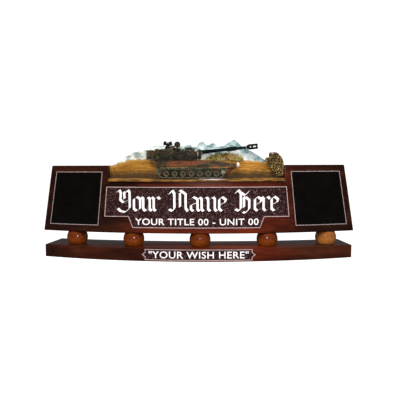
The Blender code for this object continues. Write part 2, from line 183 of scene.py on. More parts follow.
def wood(name, dark, middle, light, roughness=0.3, coat=0.5, along=(1, 9, 9), ends=0.0, shine=0.2):
    """Lacquered timber with ribbon figure, fine pores and, if ends is set, painted shade that darkens its
    ends along X.
    """
    paint = Paint(name, roughness, coat)
    paint.shader.inputs["Specular IOR Level"].default_value = shine
    figure = paint.noise(5.0, 5.0, along, 0.5)
    ribbon = paint.noise(38.0, 4.0, (along[0] * 0.6, along[1] * 0.8, along[2] * 0.8), 0.3)
    pores = paint.noise(160.0, 3.0, along)
    tone = paint.sum(figure, paint.sum(ribbon, 0.35, "MULTIPLY"), "ADD")
    tone = paint.sum(tone, 0.18, "SUBTRACT")
    base = paint.ramp(tone, [(0.28, dark), (0.5, middle), (0.72, light)])
    pitted = paint.ramp(pores, [(0.3, (0.35, 0.3, 0.3)), (0.47, (1, 1, 1))])
    base = paint.blend(0.75, base, pitted, "MULTIPLY")
    # Painted shade: the colour darkens from 50 to 150 mm either side of a middle 22 mm to the right.
    if ends:
        split = paint.add("ShaderNodeSeparateXYZ")
        paint.link(paint.place, split.inputs["Vector"])
        reach = paint.add("ShaderNodeMapRange", interpolation_type="SMOOTHSTEP")
        reach.inputs["From Min"].default_value = 0.05
        reach.inputs["From Max"].default_value = 0.15
        offset = paint.sum(split.outputs["X"], 0.022, "SUBTRACT")
        paint.link(paint.sum(offset, 0.0, "ABSOLUTE"), reach.inputs["Value"])
        painted_end_shade = (ends, ends * 1.7, ends * 2.5)
        shade = paint.ramp(reach.outputs["Result"], [(0.0, (1, 1, 1)), (1.0, painted_end_shade)])
        base = paint.blend(1.0, base, shade, "MULTIPLY")
    paint.colour(base)
    paint.rough(ribbon, roughness - 0.08, roughness + 0.1)
    paint.bump(pores, 0.12, 0.15)
    return paint.material


def plain_paint(name, colour, roughness, spread=0.25, metallic=0.0, grain=400.0):
    """One brushed colour with uneven density, fine bump and uneven gloss."""
    paint = Paint(name, roughness, metallic=metallic)
    cloud = paint.noise(grain, 4.0)
    low = tuple(c * (1 - spread) for c in colour)
    high = tuple(min(1.0, c * (1 + spread * 0.5)) for c in colour)
    paint.colour(paint.ramp(cloud, [(0.3, low), (0.65, high)]))
    paint.rough(cloud, max(0.03, roughness - 0.08), roughness + 0.1)
    paint.bump(cloud, 0.25, 0.08)
    return paint.material


def camouflage(name, dark, brown, olive, edge, shine=0.15, shift=0.0, cover=0.5):
    """Blotched brown, olive and black paint, dry-brushed with a paler tone over a share of it."""
    paint = Paint(name, 0.5)
    paint.shader.inputs["Specular IOR Level"].default_value = shine
    patches = paint.noise(38.0, 1.5, (1, 1, 2.2), 0.4, shift)
    fine = paint.noise(420.0, 5.0)
    brushed = paint.noise(900.0, 2.0, (1, 1, 2.2))
    base = paint.ramp(patches, [(0.40, dark), (0.46, olive), (0.52, olive), (0.57, brown)])
    grime = paint.ramp(fine, [(0.35, (0.75, 0.75, 0.75)), (0.5, (0, 0, 0))])
    base = paint.blend(grime, base, dark)
    start = 0.85 - 0.5 * cover
    worn = paint.ramp(brushed, [(start, (0, 0, 0)), (start + 0.12, (0.6, 0.6, 0.6))])
    base = paint.blend(worn, base, edge)
    paint.colour(base)
    paint.rough(fine, 0.35, 0.65)
    paint.bump(fine, 0.5, 0.2)
    return paint.material


def from_attribute(name, roughness, grain=700.0, bump=0.4):
    """Takes its colour from the mesh, broken up by fine brush marks."""
    paint = Paint(name, roughness)
    paint.shader.inputs["Specular IOR Level"].default_value = 0.15
    source = paint.add("ShaderNodeVertexColor", layer_name="shade").outputs["Color"]
    marks = paint.noise(grain, 3.0, (0.35, 1, 1.6))
    shade = paint.ramp(marks, [(0.3, (0.72, 0.70, 0.68)), (0.62, (1.0, 1.0, 1.0))])
    paint.colour(paint.blend(1.0, source, shade, "MULTIPLY"))
    paint.rough(marks, roughness - 0.1, roughness + 0.12)
    paint.bump(marks, bump, 0.15)
    return paint.material


# The board's and the base's mahogany darken towards their ends as painted shade.
MAHOGANY = wood("mahogany_lacquer", (0.022, 0.0030, 0.0012), (0.080, 0.0095, 0.0025), (0.18, 0.026, 0.006),
                0.24, 0.16, ends=0.19)
BASE_WOOD = wood("base_mahogany", (0.028, 0.005, 0.002), (0.075, 0.010, 0.003), (0.140, 0.020, 0.005),
                 0.30, 0.08, ends=0.5, shine=0.12)
BALL_WOOD = wood("ball_lacquer", (0.045, 0.007, 0.001), (0.120, 0.021, 0.002), (0.22, 0.052, 0.006),
                 0.16, 0.0, along=(1.4, 1.4, 6), shine=0.4)
PALE_BALL_WOOD = wood("pale_ball_lacquer", (0.12, 0.034, 0.006), (0.27, 0.088, 0.018), (0.40, 0.15, 0.035),
                      0.16, 0.0, along=(1.4, 1.4, 6), shine=0.4)
BLACK = plain_paint("black_sheet", (0.0028, 0.0022, 0.002), 0.22, 0.3, grain=60.0)
BLACK.node_tree.nodes["Principled BSDF"].inputs["Specular IOR Level"].default_value = 0.06
PALE_LINE = plain_paint("pale_inlay_line", (0.46, 0.33, 0.32), 0.45)
DIM_LINE = plain_paint("dim_inlay_line", (0.30, 0.235, 0.225), 0.5)
LETTER = plain_paint("letter_white", (0.86, 0.80, 0.80), 0.42, 0.12)
STEEL = plain_paint("screw_steel", (0.5, 0.5, 0.52), 0.35, metallic=1.0)
STIPPLE = from_attribute("stippled_field", 0.6, bump=0.2)
SCENERY = from_attribute("painted_scenery", 0.6, grain=420.0)
FOLIAGE = from_attribute("painted_foliage", 0.6, grain=900.0)
HULL_PAINT = camouflage("hull_camouflage", (0.020, 0.014, 0.008), (0.14, 0.038, 0.014),
                        (0.066, 0.040, 0.015), (0.20, 0.12, 0.055), shift=0.049)
FENDER_PAINT = camouflage("fender_camouflage", (0.045, 0.028, 0.012), (0.22, 0.095, 0.035),
                          (0.14, 0.095, 0.035), (0.36, 0.25, 0.11), shift=0.05)
DARK_PAINT = camouflage("turret_camouflage", (0.003, 0.003, 0.002), (0.024, 0.011, 0.006),
                        (0.012, 0.012, 0.006), (0.17, 0.11, 0.045))
KIT_PAINT = camouflage("kit_camouflage", (0.003, 0.003, 0.002), (0.045, 0.020, 0.009),
                       (0.026, 0.022, 0.010), (0.36, 0.28, 0.14), cover=0.56)
TRACK_PAINT = camouflage("track_paint", (0.005, 0.005, 0.004), (0.030, 0.022, 0.014),
                         (0.018, 0.020, 0.012), (0.50, 0.53, 0.31), cover=0.72)
WHEEL_PAINT = camouflage("wheel_paint", (0.004, 0.004, 0.003), (0.045, 0.024, 0.014),
                         (0.022, 0.022, 0.013), (0.20, 0.19, 0.11))
WHEEL_RIM = plain_paint("wheel_drybrush", (0.15, 0.155, 0.095), 0.6, 0.8, grain=900.0)
GUN_PAINT = camouflage("barrel_paint", (0.0012, 0.002, 0.002), (0.003, 0.006, 0.006),
                       (0.002, 0.005, 0.005), (0.016, 0.024, 0.022), shine=0.06)
LAMP = plain_paint("lamp_cream", (0.74, 0.52, 0.42), 0.35)


# ---------------------------------------------------------------- shapes


def finish(obj, material, slot_name, *nodes):
    """Gives a piece its material and body, and hides the CAD nodes it stands for; slot_name is not used."""
    obj.data.materials.clear()
    obj.data.materials.append(material)
    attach(obj, "root")
    if nodes:
        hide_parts(*nodes)
    return obj


def new_object(name, data):
    """Puts data in the scene. A mesh comes in millimetres and is scaled to metres here."""
    if isinstance(data, bpy.types.Mesh):
        data.transform(Matrix.Scale(MM, 4))
    made = bpy.data.objects.new(name, data)
    bpy.context.scene.collection.objects.link(made)
    return made


def evaluated_mesh(obj):
    bpy.context.view_layer.update()
    return bpy.data.meshes.new_from_object(obj.evaluated_get(bpy.context.evaluated_depsgraph_get()))


def apply_modifiers(obj):
    mesh = evaluated_mesh(obj)
    obj.modifiers.clear()
    obj.data = mesh
    return obj


def shade(obj, angle=32):
    obj.data.shade_smooth()
    obj.data.set_sharp_from_angle(angle=math.radians(angle))
    return obj


def mirrored(right_half):
    return right_half + [(-x, z) for x, z in reversed(right_half)]


def inset(points, distance):
    """A closed outline moved inwards by distance, whichever way round it is listed."""
    area = sum(a[0] * b[1] - b[0] * a[1] for a, b in zip(points, points[1:] + points[:1]))
    side = 1 if area > 0 else -1
    out = []
    for i, corner in enumerate(points):
        a, b, c = Vector(points[i - 1]), Vector(corner), Vector(points[(i + 1) % len(points)])
        first = (b - a).normalized()
        second = (c - b).normalized()
        normal_a = Vector((-first.y, first.x)) * side
        normal_b = Vector((-second.y, second.x)) * side
        middle = (normal_a + normal_b).normalized()
        out.append(tuple(b + middle * distance / middle.dot(normal_a)))
    return out


def flat_shape(name, loops, thickness):
    """A mesh object of the filled outlines in XY, centred on Z = 0."""
    curve = bpy.data.curves.new(name, "CURVE")
    curve.dimensions = "2D"
    curve.fill_mode = "BOTH"
    curve.extrude = thickness / 2
    for loop in loops:
        spline = curve.splines.new("POLY")
        spline.points.add(len(loop) - 1)
        for point, (u, v) in zip(spline.points, loop):
            point.co = (u, v, 0, 1)
        spline.use_cyclic_u = True
    guide = new_object(name + "_guide", curve)
    mesh = evaluated_mesh(guide)
    bpy.data.objects.remove(guide)
    work = bmesh.new()
    work.from_mesh(mesh)
    bmesh.ops.remove_doubles(work, verts=work.verts, dist=0.01)
    bmesh.ops.recalc_face_normals(work, faces=work.faces)
    work.to_mesh(mesh)
    work.free()
    return new_object(name, mesh)


def plate(name, loops, front, back, bevel=0.0, segments=3):
    """An upright plate with outlines in X and Z, its outer edges rounded by bevel."""
    made = flat_shape(name, loops, back - front)
    made.data.transform(Matrix.Rotation(math.pi / 2, 4, "X"))
    made.data.transform(Matrix.Translation((0, (front + back) / 2 * MM, 0)))
    return rounded(made, bevel, segments)


def rounded(obj, bevel, segments=3):
    if bevel:
        edge = obj.modifiers.new("edge", "BEVEL")
        edge.width = bevel * MM
        edge.segments = segments
        edge.limit_method = "ANGLE"
        edge.angle_limit = math.radians(40)
        apply_modifiers(obj)
    return obj


def subtract(obj, cutter):
    change = obj.modifiers.new("cut", "BOOLEAN")
    change.operation = "DIFFERENCE"
    change.object = cutter
    apply_modifiers(obj)
    bpy.data.objects.remove(cutter)


def bow(obj, radius, face):
    """Slices obj across X and bends it round, then moves y = 0 to the given face."""
    radius, face, step, merge = radius * MM, face * MM, 5 * MM, 0.02 * MM
    work = bmesh.new()
    work.from_mesh(obj.data)
    bmesh.ops.triangulate(work, faces=[f for f in work.faces if len(f.verts) > 4])
    reach = max(abs(v.co.x) for v in work.verts)
    count = int(reach / step)
    for i in range(-count, count + 1):
        everything = [*work.verts, *work.edges, *work.faces]
        plane = (i * step, 0, 0)
        bmesh.ops.bisect_plane(work, geom=everything, dist=merge, plane_co=plane, plane_no=(1, 0, 0))
    bmesh.ops.remove_doubles(work, verts=work.verts, dist=merge)
    for v in work.verts:
        v.co.y += sagitta(v.co.x, radius) + face
    work.to_mesh(obj.data)
    work.free()
    return shade(obj, 12)


def relief(name, columns, rows, front, back, tint=None):
    """A closed slab between two grids of points, coloured per vertex by tint(u, v, point)."""
    verts = [front(u / columns, v / rows) for v in range(rows + 1) for u in range(columns + 1)]
    split = len(verts)
    verts += [back(u / columns, v / rows) for v in range(rows + 1) for u in range(columns + 1)]
    wide = columns + 1
    faces = []
    for v in range(rows):
        for u in range(columns):
            a = v * wide + u
            faces.append((a, a + 1, a + 1 + wide, a + wide))
            faces.append((split + a, split + a + wide, split + a + 1 + wide, split + a + 1))
    rim = [u for u in range(columns)] + [v * wide + columns for v in range(rows)]
    rim += [rows * wide + u for u in range(columns, 0, -1)] + [v * wide for v in range(rows, 0, -1)]
    for a, b in zip(rim, rim[1:] + rim[:1]):
        faces.append((b, a, split + a, split + b))
    mesh = bpy.data.meshes.new(name)
    mesh.from_pydata(verts, [], faces)
    if tint:
        layer = mesh.color_attributes.new("shade", "FLOAT_COLOR", "POINT")
        for v in range(rows + 1):
            for u in range(columns + 1):
                i = v * wide + u
                colour = tint(u / columns, v / rows, verts[i])
                layer.data[i].color = (*colour, 1)
                layer.data[split + i].color = (*colour, 1)
    return shade(new_object(name, mesh), 50)


class Shape:
    """Collects boxes, rods and outlines in one mesh."""

    def __init__(self):
        self.work = bmesh.new()

    def box(self, size, centre, turn=0.0, axis="Y"):
        place = Matrix.Translation(centre) @ Matrix.Rotation(turn, 4, axis) @ Matrix.Diagonal((*size, 1))
        bmesh.ops.create_cube(self.work, size=1, matrix=place)
        return self

    def rod(self, radius, start, end, sides=16, end_radius=None):
        start, end = Vector(start), Vector(end)
        along = end - start
        turn = along.to_track_quat("Z", "Y").to_matrix().to_4x4()
        place = Matrix.Translation((start + end) / 2) @ turn
        other = radius if end_radius is None else end_radius
        bmesh.ops.create_cone(self.work, cap_ends=True, segments=sides, radius1=radius, radius2=other,
                              depth=along.length, matrix=place)
        return self

    def ball(self, radius, centre, squash=(1, 1, 1), detail=2):
        place = Matrix.Translation(centre) @ Matrix.Diagonal((*squash, 1))
        made = bmesh.ops.create_icosphere(self.work, subdivisions=detail, radius=radius, matrix=place)
        return made["verts"]

    def outline(self, points, front, back):
        near = [self.work.verts.new((x, front, z)) for x, z in points]
        far = [self.work.verts.new((x, back, z)) for x, z in points]
        self.work.faces.new(near)
        self.work.faces.new(list(reversed(far)))
        for i in range(len(points)):
            j = (i + 1) % len(points)
            self.work.faces.new((near[j], near[i], far[i], far[j]))
        return self

    def tube(self, points, radius, sides=8):
        for a, b in zip(points, points[1:]):
            self.rod(radius, a, b, sides)
        for p in points[1:-1]:
            self.ball(radius, p, detail=1)
        return self

    def handle(self, x, y, z, wide, out, rise):
        """A grab rail on the front, bent outwards and up at both ends."""
        corners = [(x, y, z), (x, y - out, z + rise), (x + wide, y - out, z + rise), (x + wide, y, z)]
        return self.tube(corners, 0.22, 6)

    def make(self, name, bevel=0.0, segments=2, angle=35):
        bmesh.ops.recalc_face_normals(self.work, faces=self.work.faces)
        mesh = bpy.data.meshes.new(name)
        self.work.to_mesh(mesh)
        self.work.free()
        return shade(rounded(new_object(name, mesh), bevel, segments), angle)


def turned(name, profile, steps):
    """Revolves (radius, height) points about Z."""
    verts, faces = [], []
    for k in range(steps):
        angle = 2 * math.pi * k / steps
        verts += [(r * math.cos(angle), r * math.sin(angle), z) for r, z in profile]
    count = len(profile)
    for k in range(steps):
        for i in range(count - 1):
            a = k * count + i
            b = ((k + 1) % steps) * count + i
            faces.append((a, a + 1, b + 1, b))
    mesh = bpy.data.meshes.new(name)
    mesh.from_pydata(verts, [], faces)
    work = bmesh.new()
    work.from_mesh(mesh)
    bmesh.ops.remove_doubles(work, verts=work.verts, dist=0.005)
    bmesh.ops.recalc_face_normals(work, faces=work.faces)
    work.to_mesh(mesh)
    work.free()
    return shade(new_object(name, mesh), 40)


# ---------------------------------------------------------------- board, base and balls


def above(height):
    """A height measured up from the board's underside."""
    return board_low.z + height


def name_field(step=0.0):
    """The carved field: a wide part for the name and a narrower one for the second line."""
    right = [(130.6, 67.4), (134.7, 23.8), (98.4, 24.1), (92.2, 8.1)]
    return inset(mirrored([(x, above(h)) for x, h in right]), step)


def panel_field(side, step=0.0):
    panel_low, panel_high = box("right_inlay_border")
    lean = 13.5
    corners = [(panel_low.x, panel_high.z), (panel_high.x - lean, panel_high.z)]
    corners += [(panel_high.x, panel_low.z), (panel_low.x + 8.3, panel_low.z)]
    return inset([(side * x, z) for x, z in corners], step)


def on_board(obj):
    """Bends a flat piece to the board's bowed face."""
    return bow(obj, BOARD_RADIUS, FACE)


def on_base(obj):
    """Bends a flat piece to the base's bowed edge."""
    return bow(obj, BASE_RADIUS, BASE_FACE)


def make_board():
    low_half, top_half = board_high.x, board_high.x - BOARD_TAPER
    notch = drop_high.x + GAP
    right = [(notch, LEDGE), (notch, board_high.z), (top_half, board_high.z), (low_half, board_low.z)]
    board = plate("board", [mirrored(right)], 0, BOARD_DEPTH, 1.3)
    subtract(board, plate("field_cut", [name_field()], -4, CARVED))
    for side in (-1, 1):
        subtract(board, plate("panel_cut", [panel_field(side, -GAP)], -4, SEAT))
    finish(on_board(board), MAHOGANY, "mahogany", "name_board")


def make_inlays():
    for label, side in (("left", -1), ("right", 1)):
        border = plate(f"{label}_border", [panel_field(side), panel_field(side, 0.9)], -0.3, 1.3)
        finish(on_board(border), DIM_LINE, "pale_line", f"{label}_inlay_border")
        sheet = plate(f"{label}_panel", [panel_field(side, 1.05)], 0.15, 1.3, 0.15, 2)
        finish(on_board(sheet), BLACK, "black_gloss", f"{label}_inlay_panel")


def punch(x, z):
    """Height from 0 to 1 of a ground that is textured all over with a pointed punch."""
    distances, _ = noise.voronoi(Vector((x / PUNCH_PITCH, z / PUNCH_PITCH, 3.7)))
    ragged = noise.noise(Vector((x / 0.8, z / 0.8, 1.3)))
    return min(1.0, max(0.0, distances[0] * 1.45 + 0.18 * ragged))


def stippled(name, half_at, low, high, radius, face, middle=0.0):
    """A punched floor between two heights whose half-width follows half_at(share of height)."""
    columns = int(2 * max(half_at(0), half_at(1), half_at(0.5)) / PUNCH_GRID)
    rows = int((high - low) / PUNCH_GRID)

    def spot(u, v):
        half = half_at(v)
        return middle - half + 2 * half * u, low + (high - low) * v

    def front(u, v):
        x, z = spot(u, v)
        return (x, sagitta(x, radius) + face + 1.25 - 0.75 * punch(x, z), z)

    def back(u, v):
        x, z = spot(u, v)
        return (x, sagitta(x, radius) + face + 1.6, z)

    def tint(u, v, point):
        rise = punch(point[0], point[2])
        fleck = noise.noise(Vector((point[0] / 0.8, 8.0, point[2] / 0.8)))
        bright = smooth(0.88, 1.0, rise) * smooth(0.05, 0.45, fleck)
        ridge = mix((0.022, 0.006, 0.006), (0.36, 0.19, 0.19), bright)
        return mix((0.005, 0.002, 0.002), ridge, smooth(0.35, 0.8, rise))

    return relief(name, columns, rows, front, back, tint)


def cartouche_half(share):
    """Half-width of the base label at a share of its height: a brace that points outwards."""
    off = abs(share - 0.5) * 2
    if off > 0.5:
        return (76.2 + 0.8 * (off - 0.5) * 2)
    return (81.2 - 5.0 * (off / 0.5) ** 0.8)


def label_outline(step=0.0):
    low, high = base_low.z + 1.7, base_high.z - 0.9
    shares = [1, 0.75, 0.6, 0.5, 0.4, 0.25, 0]
    right = [(cartouche_half(s), low + (high - low) * s) for s in shares]
    return [(x + LABEL_X, z) for x, z in inset(mirrored(right), step)]


def make_fields():
    floors = (
        ("name_field", lambda s: (134.4 - 4.1 * s), above(24.0), above(67.2)),
        ("title_field", lambda s: (92.0 + 6.2 * s), above(8.3), above(24.6)),
    )
    for name, half_at, low, high in floors:
        finish(stippled(name, half_at, low, high, BOARD_RADIUS, FACE), STIPPLE, "mahogany")
    border = plate("name_field_line", [name_field(), name_field(LINE)], -0.25, 1.5)
    finish(on_board(border), PALE_LINE, "pale_line")
    label = label_outline()
    low, high = min(z for _, z in label), max(z for _, z in label)
    floor = stippled("label_field", cartouche_half, low, high, BASE_RADIUS, BASE_FACE, LABEL_X)
    finish(floor, STIPPLE, "mahogany")
    line = plate("label_line", [label, label_outline(LINE)], 0, 1.5)
    finish(on_base(line), PALE_LINE, "pale_line")


def base_outline():
    step = 4
    back_half = base_high.x - 6.6
    back_middle = base_high.y - sagitta(back_half, BASE_BACK_RADIUS)
    count = int(base_high.x / step)
    inner = [i * step for i in range(-count, count + 1)]
    front = [(x, BASE_FACE + sagitta(x, BASE_RADIUS)) for x in [base_low.x, *inner, base_high.x]]
    inner = [x for x in inner if abs(x) < back_half - 0.5]
    inner = [back_half, *reversed(inner), -back_half]
    return front + [(x, back_middle + sagitta(x, BASE_BACK_RADIUS)) for x in inner]


def make_base():
    base = flat_shape("base", [base_outline()], base_high.z - base_low.z)
    base.data.transform(Matrix.Translation((0, 0, (base_low.z + base_high.z) / 2 * MM)))
    rounded(base, 0.9, 3)
    subtract(base, on_base(plate("label_cut", [label_outline()], -4, CARVED)))
    for i in BALLS:
        low, high = box(f"post_screw_{i}")
        x, y = low.x + 4.2, (low.y + high.y) / 2
        hole = Shape().rod(4.5, (x, y, -1), (x, y, low.z + 3), 32)
        subtract(base, hole.make("screw_sink"))
    finish(shade(base, 30), BASE_WOOD, "mahogany", "base_plank")


def make_balls():
    """Balls cut flat above and below, bored for their screws. The last one is of paler timber."""
    bore = 2.4
    for i in BALLS:
        low, high = box(f"ball_post_{i}")
        radius, half = (high.x - low.x) / 2, (high.z - low.z) / 2
        reach = math.asin((half - 0.25) / radius)
        flat = radius * math.cos(reach) - 0.5
        arc = [reach * (1 - k / 16) for k in range(33)]
        profile = [(bore, half), (flat, half)]
        profile += [(radius * math.cos(a), radius * math.sin(a)) for a in arc]
        profile += [(flat, -half), (bore, -half), (bore, half)]
        ball = turned(f"ball_{i}", profile, 72)
        ball.data.transform(Matrix.Rotation(0.9 * i, 4, "Z"))
        ball.location = (low + high) / 2 * MM
        finish(ball, PALE_BALL_WOOD if i == BALLS[-1] else BALL_WOOD, "ball_wood", f"ball_post_{i}")


def make_screws():
    """Countersunk heads with a cross recess, seen from underneath."""
    for i in BALLS:
        low, high = box(f"post_screw_{i}")
        radius = (high.x - low.x) / 2
        shank = radius / 2
        profile = [(0, low.z), (radius, low.z), (radius, low.z + 0.4), (shank, low.z + 3.2)]
        turns = 16
        for k in range(turns * 2):
            z = low.z + 14 + k * (high.z - low.z - 20) / (turns * 2)
            profile.append((shank * (1.0 if k % 2 else 0.72), z))
        profile += [(shank * 0.7, high.z - 5), (0, high.z)]
        screw = turned(f"screw_{i}", list(reversed(profile)), 40)
        for turn in (0.4, 0.4 + math.pi / 2):
            slot_cut = Shape().box((4.4, 0.9, 2.4), (0, 0, low.z), turn, "Z").make("slot_cut")
            subtract(screw, slot_cut)
        screw.location = Vector(((low.x + high.x) / 2, (low.y + high.y) / 2, 0)) * MM
        finish(shade(screw, 30), STEEL, "steel", f"post_screw_{i}")


# ---------------------------------------------------------------- lettering

# Broad-nib strokes on a grid where the small letters are 1 high. Each glyph has its advance and
# its strokes, and "|" at x stands for an upright with a slanted head and foot.
GLYPHS = {
    "o": (0.62, [[(0.2, 1.0), (0, 0.84), (0, 0.16), (0.16, 0)],
                 [(0.2, 1.0), (0.42, 0.84), (0.42, 0.16), (0.16, 0)]]),
    "u": (0.68, ["|0", [(0.02, 0.12), (0.16, 0), (0.42, 0.2)], "|0.42"]),
    "r": (0.52, ["|0", [(0.06, 0.84), (0.26, 1.0), (0.4, 0.84)]]),
    "a": (0.68, [[(0, 0.9), (0.16, 1.0), (0.42, 0.84), (0.42, 0.14), (0.54, 0)],
                 [(0.4, 0.6), (0, 0.42), (0, 0.14), (0.14, 0), (0.4, 0.18)]]),
    "m": (1.12, ["|0", [(0.04, 0.8), (0.3, 1.0)], "|0.42", [(0.46, 0.8), (0.72, 1.0)], "|0.84"]),
    "e": (0.56, [[(0.18, 1.0), (0, 0.82), (0, 0.16), (0.16, 0), (0.42, 0.18)],
                 [(0.18, 1.0), (0.42, 0.8), (0.36, 0.6), (0.04, 0.44)]]),
    "Y": (1.0, [[(-0.12, 1.32), (0.04, 1.48), (0.14, 1.25), (0.1, 0.78), (0.3, 0.58), (0.66, 0.78)],
                [(0.5, 1.3), (0.62, 1.48), (0.72, 1.3), (0.72, 0.2), (0.42, -0.1), (0.08, -0.02),
                 (-0.08, 0.16)],
                [(0.36, 1.36), (0.38, 0.86)]]),
    "N": (1.26, [[(-0.12, 1.2), (0.06, 1.46), (0.2, 1.24), (0.2, 0.2), (0.06, 0), (-0.14, 0.14)],
                 [(0.2, 1.22), (0.56, 1.48), (0.92, 1.2), (0.92, 0.2), (1.06, 0)],
                 [(0.56, 1.28), (0.56, 0.3)]]),
    "H": (1.1, [[(-0.14, 1.26), (0.04, 1.48), (0.2, 1.26), (0.2, 0.2), (0.06, 0), (-0.14, 0.14)],
                [(0.2, 1.3), (0.46, 1.1), (0.74, 1.4)], [(0.2, 0.74), (0.48, 0.98), (0.74, 0.78)],
                [(0.74, 0.8), (0.74, 0.16), (0.5, -0.14), (0.34, -0.06)], [(0.4, 1.0), (0.4, 0.26)]]),
    " ": (0.62, []),
}
NIB = Vector((0.072, 0.050))


def glyph_strokes(letter):
    advance, strokes = GLYPHS[letter]
    out = []
    for stroke in strokes:
        if isinstance(stroke, str):
            x = float(stroke[1:])
            stroke = [(x - 0.11, 0.98), (x, 0.86), (x, 0.14), (x + 0.12, 0.0)]
        out.append([Vector(p) for p in stroke])
    return advance, out


def nib_quads(points):
    """The areas that a slanted broad nib covers along a stroke."""
    for a, b in zip(points, points[1:]):
        corners = [a - NIB, a + NIB, b + NIB, b - NIB]
        centre = sum(corners, Vector((0, 0))) / 4
        yield sorted(corners, key=lambda c: math.atan2(c.y - centre.y, c.x - centre.x))


def bend_to_face(mesh, radius, face, front, back):
    """Lays a flat mesh, thick along Z from 0 to 1, on the bowed face between two depths."""
    for vertex in mesh.vertices:
        x, z, share = vertex.co
        vertex.co = (x, sagitta(x, radius) + face + back + (front - back) * share, z)


def blackletter(text, left, right, low, unit):
    """Capitals and small letters written with a broad nib, fitted between two X positions."""
    total = sum(GLYPHS[c][0] for c in text) - 0.1
    stretch = (right - left) / total
    work = bmesh.new()
    cursor = 0.0
    layer = 0
    for letter in text:
        advance, strokes = glyph_strokes(letter)
        for stroke in strokes:
            for quad in nib_quads(stroke):
                layer += 1
                top = 1.0 + 0.02 * (layer % 5)
                places = [(left + (cursor + c.x) * stretch, low + c.y * unit) for c in quad]
                near = [work.verts.new((*place, top)) for place in places]
                far = [work.verts.new((*place, 0.0)) for place in places]
                work.faces.new(near)
                work.faces.new(list(reversed(far)))
                for i in range(4):
                    j = (i + 1) % 4
                    work.faces.new((near[j], near[i], far[i], far[j]))
        cursor += advance
    mesh = bpy.data.meshes.new("name_letters")
    work.to_mesh(mesh)
    work.free()
    bend_to_face(mesh, BOARD_RADIUS, FACE, -0.25, 1.4)
    made = rounded(new_object("name_letters", mesh), 0.14, 1)
    finish(shade(made, 30), LETTER, "pale_paint")


def weld(mesh):
    """Joins the fronts, sides and backs of filled letters into closed shells."""
    work = bmesh.new()
    work.from_mesh(mesh)
    bmesh.ops.remove_doubles(work, verts=work.verts, dist=0.0001)
    bmesh.ops.recalc_face_normals(work, faces=work.faces)
    work.to_mesh(mesh)
    work.free()


def block_letters(name, text, left, right, low, high, radius, face, front=-0.25):
    """Bold plain capitals fitted between two X positions and two heights."""
    curve = bpy.data.curves.new(name, "FONT")
    curve.body = text
    curve.size = 1.0
    curve.extrude = 0.5
    curve.offset = 0.008
    curve.resolution_u = 4
    curve.space_character = 1.06
    guide = new_object(name + "_guide", curve)
    mesh = evaluated_mesh(guide)
    bpy.data.objects.remove(guide)
    weld(mesh)
    xs = [v.co.x for v in mesh.vertices]
    ys = [v.co.y for v in mesh.vertices]
    for v in mesh.vertices:
        u = (v.co.x - min(xs)) / (max(xs) - min(xs))
        t = (v.co.y - min(ys)) / (max(ys) - min(ys))
        v.co = (left + (right - left) * u, low + (high - low) * t, v.co.z + 0.5)
    bend_to_face(mesh, radius, face, front, 1.4)
    finish(shade(new_object(name, mesh), 30), LETTER, "pale_paint")


def make_lettering():
    blackletter("Your Name Here", -112, 119, above(32.8), 20.4)
    block_letters("title_letters", "YOUR TITLE 00 - UNIT 00", -88, 90, above(12.4), above(21.9),
                  BOARD_RADIUS, FACE)
    block_letters("label_letters", '"YOUR WISH HERE"', LABEL_X - 71, LABEL_X + 71,
                  base_low.z + 4.6, base_low.z + 14.9, BASE_RADIUS, BASE_FACE, front=0)


# ---------------------------------------------------------------- painted scene


def skyline(x):
    """Height of the backdrop's cut edge above the ledge."""
    ridge = [(-127, 22), (-111, 29), (-99, 37.6), (-90, 42), (-75, 44.8), (-60, 51), (-46, 51.2),
             (-18, 50.3), (-8, 52.4), (-5, 48.8), (1, 49.5), (5, 55), (10, 56.6), (15, 52.3), (19, 51.6),
             (23, 54.3), (27, 54), (30, 49.4), (40, 50), (48, 55.8), (55, 59.1), (60, 55.8), (65, 50.6),
             (80, 42.6), (87, 38.1), (97, 31.6), (104, 27.5), (127, 24)]
    for (xa, ha), (xb, hb) in zip(ridge, ridge[1:]):
        if xa <= x <= xb:
            t = (x - xa) / (xb - xa)
            return ha + (hb - ha) * (t * t * (3 - 2 * t) * 0.4 + t * 0.6)
    return ridge[-1][1]


def fractal(x, z, size, seed=0.0):
    """Fractal noise around 0, with features of the given size."""
    return noise.fractal(Vector((x / size, seed, z / size)), 1.0, 2.0, 4)


